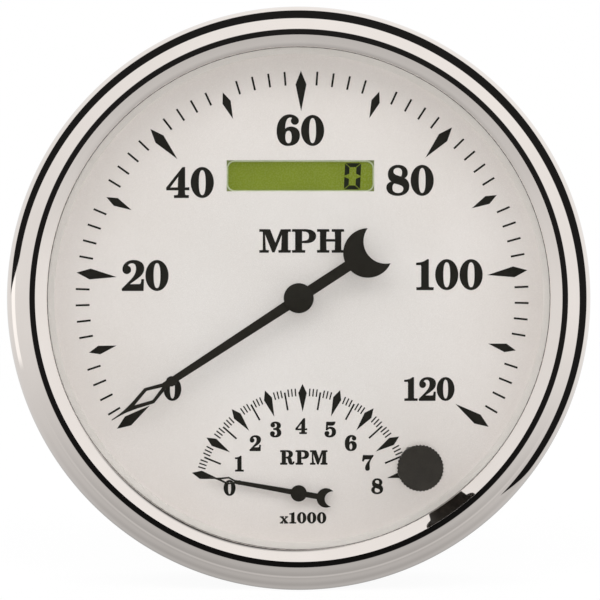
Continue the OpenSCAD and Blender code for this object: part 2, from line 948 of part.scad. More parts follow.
// Button
module button_cap() {
  head_low = cap_top - cap_head_h;
  rib_top = cap_top - cap_chamfer;
  core_r = cap_r - knurl_gap;
  knurl = [for (i = [0 : 2 * cap_ribs - 1]) polar(cap_r - rib_depth * (i % 2), i * 180 / cap_ribs)];
  color("black") at_button() difference() {
    union() {
      translate([0, 0, cap_low]) cylinder(d1 = cap_foot_d, d2 = cap_neck_d, h = head_low - cap_low + past);
      translate([0, 0, head_low]) linear_extrude(rib_top - head_low) polygon(knurl);
      disc(core_r, head_low + near, rib_top + near);
      translate([0, 0, rib_top]) cylinder(r1 = core_r, r2 = core_r - knurl_gap, h = cap_chamfer);
    }
    translate([0, 0, cap_top + dish_r - dish_depth]) sphere(dish_r);
    disc(stem_r + near, cap_low - past, cap_top - cap_roof);
  }
}

module button_stem() {
  color("gray") at_button() union() {
    disc(stem_r, plunger_top + run_gap, cap_top - cap_roof);
    disc(stem_r + collar_w, collar_low, collar_top);
  }
}

module button_bush() {
  color("black") at_button() difference() {
    union() {
      disc(bush_r, lens_back - bush_nut_t, lens_front);
      disc(bush_r + bush_lip, lens_front, lens_front + bush_flange_t);
    }
    disc(stem_r + run_gap, lens_back - bush_nut_t - past, lens_front + bush_flange_t + past);
    disc(stem_r + 2 * seal_r + seal_gap, lens_back, lens_back + seal_room);
  }
}

module bush_nut() {
  color("gray") at_button() difference() {
    translate([0, 0, lens_back - bush_nut_t]) cylinder(r = bush_r + bush_nut_t, h = bush_nut_t, $fn = 6);
    disc(bush_r + near, lens_back - bush_nut_t - past, lens_back + past);
  }
}

module stem_seal() {
  color("black") at_button() translate([0, 0, lens_back + seal_room / 2]) rotate_extrude()
    translate([stem_r + seal_r + seal_gap * 0.9, 0]) circle(seal_r, $fn = 32);
}

module button_spring() {
  sides = 6;
  steps = 10 * spring_turns;
  z0 = switch_top + wire_d / 2 + near;
  rise = (collar_low - wire_d / 2 - near - z0) / steps;
  rings = [for (i = [0 : steps], k = [0 : sides - 1])
    let (a = i * 36, r = spring_r + wire_d / 2 * cos(k * 60))
    [r * cos(a), r * sin(a), z0 + i * rise + wire_d / 2 * sin(k * 60)]];
  skin = [for (i = [0 : steps - 1], k = [0 : sides - 1])
    let (n = (k + 1) % sides, b = i * sides)
    each [[b + k, b + n, b + sides + k], [b + n, b + sides + n, b + sides + k]]];
  first = [for (k = [1 : sides - 2]) [0, k + 1, k]];
  last = [for (k = [1 : sides - 2]) [steps * sides, steps * sides + k, steps * sides + k + 1]];
  color("silver") at_button() polyhedron(rings, concat(skin, first, last));
}

module switch_body() {
  color("black") at_button() difference() {
    block(switch_w, switch_w, board_top, switch_top);
    disc(stem_r - end_gap, board_top + switch_floor, switch_top + past);
  }
}

module switch_plunger() {
  low = board_top + switch_floor + end_gap + travel;
  color("white") at_button() disc(stem_r - plunger_gap, low, plunger_top);
}

bezel();
lens_gasket();
lens();
spacer_ring();
dial();
light_guide();
chassis();
case();
mounting_studs();
stud_nuts();
stud_washers();
socket_shell();
socket_pins();
circuit_board();
board_screws();
board_chips();
board_capacitors();
dial_lamps();
display_glass();
display_frame();
display_backlight();
display_contacts();
speed_motor_base();
speed_motor_cover();
speed_stator();
speed_coils();
speed_axles();
speed_magnet();
speed_rotor_pinion();
speed_idler_wheel();
speed_idler_pinion();
speed_output_gear();
speed_shaft();
speed_pointer();
speed_hub();
speed_cap();
rev_motor_base();
rev_motor_cover();
rev_stator();
rev_coils();
rev_axles();
rev_magnet();
rev_rotor_pinion();
rev_idler_wheel();
rev_idler_pinion();
rev_output_gear();
rev_shaft();
rev_pointer();
rev_hub();
rev_cap();
button_cap();
button_stem();
button_bush();
bush_nut();
stem_seal();
button_spring();
switch_body();
switch_plunger();
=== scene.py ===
import json
import math
import bpy
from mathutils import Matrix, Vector


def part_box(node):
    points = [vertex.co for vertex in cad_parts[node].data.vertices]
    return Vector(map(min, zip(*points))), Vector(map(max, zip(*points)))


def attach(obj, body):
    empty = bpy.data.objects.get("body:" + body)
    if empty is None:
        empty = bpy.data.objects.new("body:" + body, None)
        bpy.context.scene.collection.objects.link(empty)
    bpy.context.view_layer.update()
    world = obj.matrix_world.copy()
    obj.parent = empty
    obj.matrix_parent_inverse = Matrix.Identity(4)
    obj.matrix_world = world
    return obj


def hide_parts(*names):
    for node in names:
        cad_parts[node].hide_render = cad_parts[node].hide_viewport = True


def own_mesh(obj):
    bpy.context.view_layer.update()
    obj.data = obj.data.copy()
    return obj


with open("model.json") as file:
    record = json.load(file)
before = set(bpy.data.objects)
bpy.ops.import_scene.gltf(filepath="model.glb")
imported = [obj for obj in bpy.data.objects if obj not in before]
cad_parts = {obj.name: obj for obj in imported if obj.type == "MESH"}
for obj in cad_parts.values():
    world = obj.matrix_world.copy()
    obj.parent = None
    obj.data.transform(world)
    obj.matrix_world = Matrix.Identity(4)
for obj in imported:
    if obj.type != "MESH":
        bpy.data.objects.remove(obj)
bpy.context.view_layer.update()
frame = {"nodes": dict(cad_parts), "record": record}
scene = bpy.context.scene
scene.view_settings.view_transform = "Standard"

# Dial coordinates are in millimetres: x right, y up, z out of the dial, with the panel plane at z = 0.
MM = 0.001
DIAL_TOP = -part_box("dial")[0].y / MM
GLASS_TOP = -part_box("display_glass")[0].y / MM
CREST = -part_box("bezel")[0].y / MM
BEZEL_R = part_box("bezel")[1].x / MM

# Where the dial's printing is centred, the centre of the rev scale in it, and the thickness of the ink
PRINT_SHIFT = (0.8, 0.12)
REV_PRINT = (0.23, -46.92)
INK = 0.02

# The wire and the turns of the button's return spring
SPRING_WIRE = 0.5
SPRING_TURNS = 4


def place(x, y, z):
    return Vector((x * MM, -z * MM, y * MM))


def polar(radius, degrees, centre=(0.0, 0.0)):
    angle = math.radians(degrees)
    return (centre[0] + radius * math.cos(angle), centre[1] + radius * math.sin(angle))


class Maths:
    """Short names for the maths nodes of one tree; each takes sockets or plain numbers."""

    def __init__(self, tree):
        self.tree = tree

    def node(self, kind, a, b=0.0):
        node = self.tree.nodes.new("ShaderNodeMath")
        node.operation = kind
        for socket, value in zip(node.inputs, (a, b)):
            if isinstance(value, float):
                socket.default_value = value
            else:
                self.tree.links.new(value, socket)
        return node.outputs["Value"]

    def plus(self, a, b):
        return self.node("ADD", a, b)

    def minus(self, a, b):
        return self.node("SUBTRACT", a, b)

    def times(self, a, b):
        return self.node("MULTIPLY", a, b)

    def most(self, a, b):
        return self.node("MAXIMUM", a, b)

    def cosine(self, angle, axis=0.0):
        return self.node("COSINE", self.minus(angle, axis))

    def smooth(self, value, start, end):
        node = self.tree.nodes.new("ShaderNodeMapRange")
        node.interpolation_type = "SMOOTHSTEP"
        node.inputs["From Min"].default_value = start
        node.inputs["From Max"].default_value = end
        self.tree.links.new(value, node.inputs["Value"])
        return node.outputs["Result"]


# Materials: the broad tone of a surface has this share of its grain's frequency
BROAD_SHARE = 0.12


def new_material(name, rough=0.5, metal=0.0, coat=0.0, specular=0.5, coat_rough=0.08):
    mat = bpy.data.materials.new(name)
    mat.use_nodes = True
    tree = mat.node_tree
    shader = tree.nodes["Principled BSDF"]
    shader.inputs["Roughness"].default_value = rough
    shader.inputs["Metallic"].default_value = metal
    shader.inputs["Coat Weight"].default_value = coat
    shader.inputs["Coat Roughness"].default_value = coat_rough
    shader.inputs["Specular IOR Level"].default_value = specular
    return mat, tree, shader


def coordinates(tree, stretch=(1.0, 1.0, 1.0)):
    coords = tree.nodes.new("ShaderNodeTexCoord")
    mapping = tree.nodes.new("ShaderNodeMapping")
    mapping.inputs["Scale"].default_value = stretch
    tree.links.new(coords.outputs["Object"], mapping.inputs["Vector"])
    return mapping.outputs["Vector"]


def noise(tree, vector, per_metre, detail=4.0, roughness=0.55):
    node = tree.nodes.new("ShaderNodeTexNoise")
    node.inputs["Scale"].default_value = per_metre
    node.inputs["Detail"].default_value = detail
    node.inputs["Roughness"].default_value = roughness
    tree.links.new(vector, node.inputs["Vector"])
    return node.outputs["Fac"]


def ramp(tree, factor, stops):
    node = tree.nodes.new("ShaderNodeValToRGB")
    elements = node.color_ramp.elements
    while len(elements) < len(stops):
        elements.new(0.5)
    for element, (position, colour) in zip(elements, stops):
        element.position = position
        element.color = (*colour, 1.0)
    tree.links.new(factor, node.inputs["Fac"])
    return node.outputs["Color"]


def spread(tree, factor, low, high, start=0.3, end=0.7):
    node = tree.nodes.new("ShaderNodeMapRange")
    node.inputs["From Min"].default_value = start
    node.inputs["From Max"].default_value = end
    node.inputs["To Min"].default_value = low
    node.inputs["To Max"].default_value = high
    tree.links.new(factor, node.inputs["Value"])
    return node.outputs["Result"]


def add_bump(tree, shader, height, strength, depth_mm):
    node = tree.nodes.new("ShaderNodeBump")
    node.inputs["Strength"].default_value = strength
    node.inputs["Distance"].default_value = depth_mm * MM
    tree.links.new(height, node.inputs["Height"])
    tree.links.new(node.outputs["Normal"], shader.inputs["Normal"])


def surface(name, dark, light, rough, grain_mm, metal=0.0, bump=0.0, depth_mm=0.02, coat=0.0,
            stretch=(1.0, 1.0, 1.0), specular=0.5):
    """A noisy finish: two close colours, a range of roughness and a grain of the given size."""
    mat, tree, shader = new_material(name, metal=metal, coat=coat, specular=specular)
    vector = coordinates(tree, stretch)
    per_metre = 1.0 / (grain_mm * MM)
    fine = noise(tree, vector, per_metre)
    broad = noise(tree, vector, BROAD_SHARE * per_metre, detail=3.0)
    half = 0.5
    mix = tree.nodes.new("ShaderNodeMath")
    mix.operation = "MULTIPLY_ADD"
    mix.inputs[1].default_value = half
    tree.links.new(fine, mix.inputs[0])
    tree.links.new(spread(tree, broad, 0.0, half, 0.0, 1.0), mix.inputs[2])
    both = mix.outputs["Value"]
    tree.links.new(ramp(tree, both, [(0.35, dark), (0.65, light)]), shader.inputs["Base Color"])
    tree.links.new(spread(tree, both, rough[0], rough[1]), shader.inputs["Roughness"])
    if bump:
        add_bump(tree, shader, fine, bump, depth_mm)
    return mat


def chrome():
    """Bright plating with a faint haze."""
    mat, tree, shader = new_material("bezel_chrome", rough=0.03, metal=1.0)
    vector = coordinates(tree)
    haze = noise(tree, vector, per_metre=90.0, detail=5.0)
    tree.links.new(ramp(tree, haze, [(0.3, (0.905, 0.843, 0.797)), (0.7, (0.935, 0.873, 0.827))]),
                   shader.inputs["Base Color"])
    tree.links.new(spread(tree, haze, 0.02, 0.05), shader.inputs["Roughness"])
    return mat


def clear_glass(name, tint, ior):
    """A clear pane: light goes straight through, and only the front of each face reflects."""
    mat = bpy.data.materials.new(name)
    mat.use_nodes = True
    tree = mat.node_tree
    tree.nodes.remove(tree.nodes["Principled BSDF"])
    through = tree.nodes.new("ShaderNodeBsdfTransparent")
    through.inputs["Color"].default_value = (*tint, 1.0)
    gloss = tree.nodes.new("ShaderNodeBsdfGlossy")
    smudge = noise(tree, coordinates(tree), per_metre=60.0, detail=6.0)
    tree.links.new(spread(tree, smudge, 0.0, 0.04, 0.45, 0.8), gloss.inputs["Roughness"])
    fresnel = tree.nodes.new("ShaderNodeFresnel")
    fresnel.inputs["IOR"].default_value = ior
    side = tree.nodes.new("ShaderNodeNewGeometry")
    maths = Maths(tree)
    share = maths.times(fresnel.outputs["Fac"], maths.minus(1.0, side.outputs["Backfacing"]))
    mix = tree.nodes.new("ShaderNodeMixShader")
    tree.links.new(share, mix.inputs["Fac"])
    tree.links.new(through.outputs["BSDF"], mix.inputs[1])
    tree.links.new(gloss.outputs["BSDF"], mix.inputs[2])
    tree.links.new(mix.outputs["Shader"], tree.nodes["Material Output"].inputs["Surface"])
    return mat


def dial_paint():
    """Pearl lacquer: a warm white with fine flake, a slow drift of tone and a warmer rim."""
    mat, tree, shader = new_material("dial_face", coat=0.15)
    vector = coordinates(tree)
    plain_r, rim_r = 25.0 * MM, 55.0 * MM
    flakes_per_metre = 5200.0
    flake = tree.nodes.new("ShaderNodeTexVoronoi")
    flake.inputs["Scale"].default_value = flakes_per_metre
    tree.links.new(vector, flake.inputs["Vector"])
    drift = noise(tree, vector, per_metre=45.0, detail=3.0)
    base = ramp(tree, drift, [(0.3, (0.785, 0.735, 0.715)), (0.7, (0.82, 0.772, 0.757))])
    glint = ramp(tree, flake.outputs["Color"], [(0.2, (0.95, 0.945, 0.94)), (0.8, (1.0, 1.0, 1.0))])
    reach = tree.nodes.new("ShaderNodeVectorMath")
    reach.operation = "LENGTH"
    tree.links.new(vector, reach.inputs[0])
    rim = spread(tree, reach.outputs["Value"], 0.0, 1.0, plain_r, rim_r)
    warm = ramp(tree, rim, [(0.0, (1.0, 1.0, 1.0)), (1.0, (1.0, 0.98, 0.97))])
    colour_a, colour_b, colour_out = 6, 7, 2
    paint = base
    for layer in (glint, warm):
        mix = tree.nodes.new("ShaderNodeMix")
        mix.data_type = "RGBA"
        mix.blend_type = "MULTIPLY"
        mix.inputs["Factor"].default_value = 1.0
        tree.links.new(paint, mix.inputs[colour_a])
        tree.links.new(layer, mix.inputs[colour_b])
        paint = mix.outputs[colour_out]
    tree.links.new(paint, shader.inputs["Base Color"])
    gloss = spread(tree, flake.outputs["Distance"], 0.38, 0.55, 0.0, 0.7)
    tree.links.new(gloss, shader.inputs["Roughness"])
    return mat


def display_face():
    """Liquid crystal with a faint glow behind it: olive green, slightly uneven in tone."""
    mat, tree, shader = new_material("display_green", rough=0.25, coat=0.4)
    vector = coordinates(tree)
    glow = 0.2
    tone = noise(tree, vector, per_metre=120.0, detail=3.0)
    green = ramp(tree, tone, [(0.3, (0.158, 0.199, 0.019)), (0.7, (0.178, 0.223, 0.024))])
    tree.links.new(green, shader.inputs["Base Color"])
    tree.links.new(green, shader.inputs["Emission Color"])
    shader.inputs["Emission Strength"].default_value = glow
    frost = noise(tree, vector, per_metre=2600.0)
    tree.links.new(spread(tree, frost, 0.2, 0.34), shader.inputs["Roughness"])
    return mat


def board_mask():
    """Solder mask with paler tracks under it."""
    mat, tree, shader = new_material("board_green", rough=0.35, coat=0.3)
    vector = coordinates(tree)
    cells_per_metre = 190.0
    cells = tree.nodes.new("ShaderNodeTexVoronoi")
    cells.distance = "MANHATTAN"
    cells.inputs["Scale"].default_value = cells_per_metre
    tree.links.new(vector, cells.inputs["Vector"])
    mask = ramp(tree, cells.outputs["Distance"],
                [(0.30, (0.012, 0.085, 0.03)), (0.42, (0.02, 0.15, 0.05)), (0.5, (0.012, 0.09, 0.03))])
    tree.links.new(mask, shader.inputs["Base Color"])
    add_bump(tree, shader, cells.outputs["Distance"], strength=0.2, depth_mm=0.03)
    return mat


def winding():
    """Enamelled wire, drawn as fine bands round the coil."""
    mat, tree, shader = new_material("coil_copper", rough=0.3, metal=0.85)
    band_scale, band_wander = 900.0, 0.6
    wave = tree.nodes.new("ShaderNodeTexWave")
    wave.bands_direction = "X"
    wave.inputs["Scale"].default_value = band_scale
    wave.inputs["Distortion"].default_value = band_wander
    tree.links.new(coordinates(tree), wave.inputs["Vector"])
    wire = ramp(tree, wave.outputs["Fac"], [(0.1, (0.20, 0.05, 0.015)), (0.8, (0.62, 0.24, 0.09))])
    tree.links.new(wire, shader.inputs["Base Color"])
    add_bump(tree, shader, wave.outputs["Fac"], strength=0.5, depth_mm=0.05)
    return mat


# Finishes by the record's material slots
FINISH = {
    "bezel_chrome": chrome(),
    "clear_lens": clear_glass("clear_lens", (0.985, 0.99, 0.985), 1.49),
    "black_rubber": surface("black_rubber", (0.010, 0.010, 0.010), (0.022, 0.022, 0.022),
                            (0.6, 0.8), 0.25, bump=0.3),
    "white_plastic": surface("white_plastic", (0.88, 0.838, 0.808), (0.93, 0.886, 0.855),
                             (0.4, 0.55), 0.3, bump=0.1),
    "dial_face": dial_paint(),
    "clear_guide": surface("clear_guide", (0.72, 0.74, 0.74), (0.80, 0.82, 0.82),
                           (0.15, 0.3), 0.8, coat=0.3),
    "case_steel": surface("case_steel", (0.018, 0.018, 0.019), (0.032, 0.032, 0.034),
                          (0.32, 0.46), 0.35, bump=0.25, depth_mm=0.03, coat=0.1),
    "plated_steel": surface("plated_steel", (0.52, 0.51, 0.47), (0.68, 0.66, 0.60),
                            (0.22, 0.42), 0.18, metal=1.0, bump=0.12),
    "black_plastic": surface("black_plastic", (0.012, 0.012, 0.013), (0.025, 0.025, 0.026),
                             (0.42, 0.6), 0.2, bump=0.25),
    "pin_brass": surface("pin_brass", (0.62, 0.42, 0.15), (0.76, 0.56, 0.24),
                         (0.18, 0.35), 0.2, metal=1.0, bump=0.08),
    "board_green": board_mask(),
    "chip_black": surface("chip_black", (0.012, 0.012, 0.012), (0.03, 0.03, 0.03),
                          (0.5, 0.7), 0.1, bump=0.2),
    "can_aluminium": surface("can_aluminium", (0.60, 0.61, 0.63), (0.74, 0.75, 0.77),
                             (0.25, 0.4), 0.2, metal=1.0, bump=0.08, stretch=(1.0, 0.1, 1.0)),
    "lamp_white": surface("lamp_white", (0.74, 0.72, 0.58), (0.82, 0.80, 0.66), (0.25, 0.4), 0.4),
    "display_green": display_face(),
    "display_frame": surface("display_frame", (0.17, 0.20, 0.07), (0.24, 0.28, 0.11),
                             (0.3, 0.5), 0.3, bump=0.1),
    "motor_plastic": surface("motor_plastic", (0.70, 0.70, 0.68), (0.78, 0.78, 0.76),
                             (0.4, 0.55), 0.25, bump=0.12),
    "stator_steel": surface("stator_steel", (0.30, 0.30, 0.31), (0.46, 0.46, 0.47),
                            (0.3, 0.5), 0.15, metal=1.0, bump=0.1, stretch=(1.0, 6.0, 1.0)),
    "coil_copper": winding(),
    "magnet_grey": surface("magnet_grey", (0.05, 0.05, 0.052), (0.09, 0.09, 0.092),
                           (0.45, 0.65), 0.12, bump=0.2),
    "gear_plastic": surface("gear_plastic", (0.66, 0.62, 0.50), (0.74, 0.70, 0.58),
                            (0.35, 0.5), 0.2, bump=0.08),
    "pointer_black": surface("pointer_black", (0.012, 0.010, 0.007), (0.018, 0.0155, 0.0115),
                             (0.42, 0.58), 0.16, bump=0.18, specular=0.22),
    "button_black": surface("button_black", (0.018, 0.0155, 0.012), (0.030, 0.026, 0.021),
                            (0.45, 0.62), 0.22, bump=0.22, specular=0.3),
}
INK_BLACK = surface("ink_black", (0.008, 0.007, 0.005), (0.014, 0.012, 0.009),
                    (0.45, 0.65), 0.12, bump=0.1, specular=0.22)
SEGMENT_DARK = surface("segment_dark", (0.006, 0.008, 0.003), (0.012, 0.015, 0.006),
                       (0.3, 0.45), 0.3, specular=0.3)
# The display lip's pale colour is a painted highlight of its rounded edge
DISPLAY_EDGE_HIGHLIGHT = surface("display_edge_highlight", (0.50, 0.55, 0.36), (0.62, 0.66, 0.47), (0.3, 0.45), 0.3)


# Pieces
def finish_piece(name, mesh, mat, body, replaced=(), sharp=40.0):
    obj = bpy.data.objects.new(name, mesh)
    scene.collection.objects.link(obj)
    mesh.materials.append(mat)
    for polygon in mesh.polygons:
        polygon.use_smooth = True
    mesh.set_sharp_from_angle(angle=math.radians(sharp))
    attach(obj, body)
    if replaced:
        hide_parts(*replaced)
    return obj


def mesh_of(name, points, faces):
    mesh = bpy.data.meshes.new(name)
    mesh.from_pydata([place(*p) for p in points], [], faces)
    mesh.update()
    return mesh


def grid(rows, closed_rows):
    """Points and faces of a surface of closed rings; closed_rows joins the last row to the first."""
    count = len(rows[0])
    points = [p for row in rows for p in row]
    faces = []
    last = len(rows) if closed_rows else len(rows) - 1
    for i in range(last):
        j = (i + 1) % len(rows)
        for k in range(count):
            n = (k + 1) % count
            faces.append((i * count + k, i * count + n, j * count + n, j * count + k))
    return points, faces


def arc(centre, radius, start, end, steps):
    return [polar(radius, start + (end - start) * i / steps, centre) for i in range(steps + 1)]


def lathe(profile, steps):
    rows = []
    for radius, z in profile:
        rows.append([(*polar(radius, 360.0 * k / steps), z) for k in range(steps)])
    return grid(rows, True)


def make_bezel():
    """The pressed chrome ring: rear lip, round crown, bevel and foot, with its inside."""
    sheet = 0.8
    crown = 6.3
    rear = 1.2
    opening = 57.8
    bevel_w = 2.5
    bevel_drop = 1.6
    foot_w = 1.2
    fold = 0.4
    brow = CREST - bevel_drop
    foot = brow - sheet
    mid = (BEZEL_R - crown, CREST - crown)
    lip = 63.4
    soften = 0.06
    tuck = 0.6 * soften
    slope = math.degrees(math.atan2(CREST - brow, bevel_w))
    profile = [(lip, 0.0)]
    profile += arc((BEZEL_R - rear, rear), rear, -90.0, 0.0, 10)
    profile += arc(mid, crown, 0.0, 90.0, 48)
    top = opening + bevel_w
    shoulder = top + soften * math.tan(math.radians(slope / 2))
    profile += arc((shoulder, CREST - soften), soften, 90.0, 90.0 + slope, 5)
    profile += arc((opening + soften, brow - tuck), soften, 90.0 + slope, 180.0, 6)
    profile += [(opening, foot), (opening + foot_w, foot), (top + fold, CREST - sheet)]
    profile += arc(mid, crown - sheet, 90.0, 0.0, 24)
    profile += [(BEZEL_R - sheet, sheet), (lip, sheet)]
    mesh = mesh_of("bezel_ring", *lathe(profile, steps=360))
    finish_piece("bezel_ring", mesh, FINISH["bezel_chrome"], "gauge", ["bezel"], sharp=30.0)


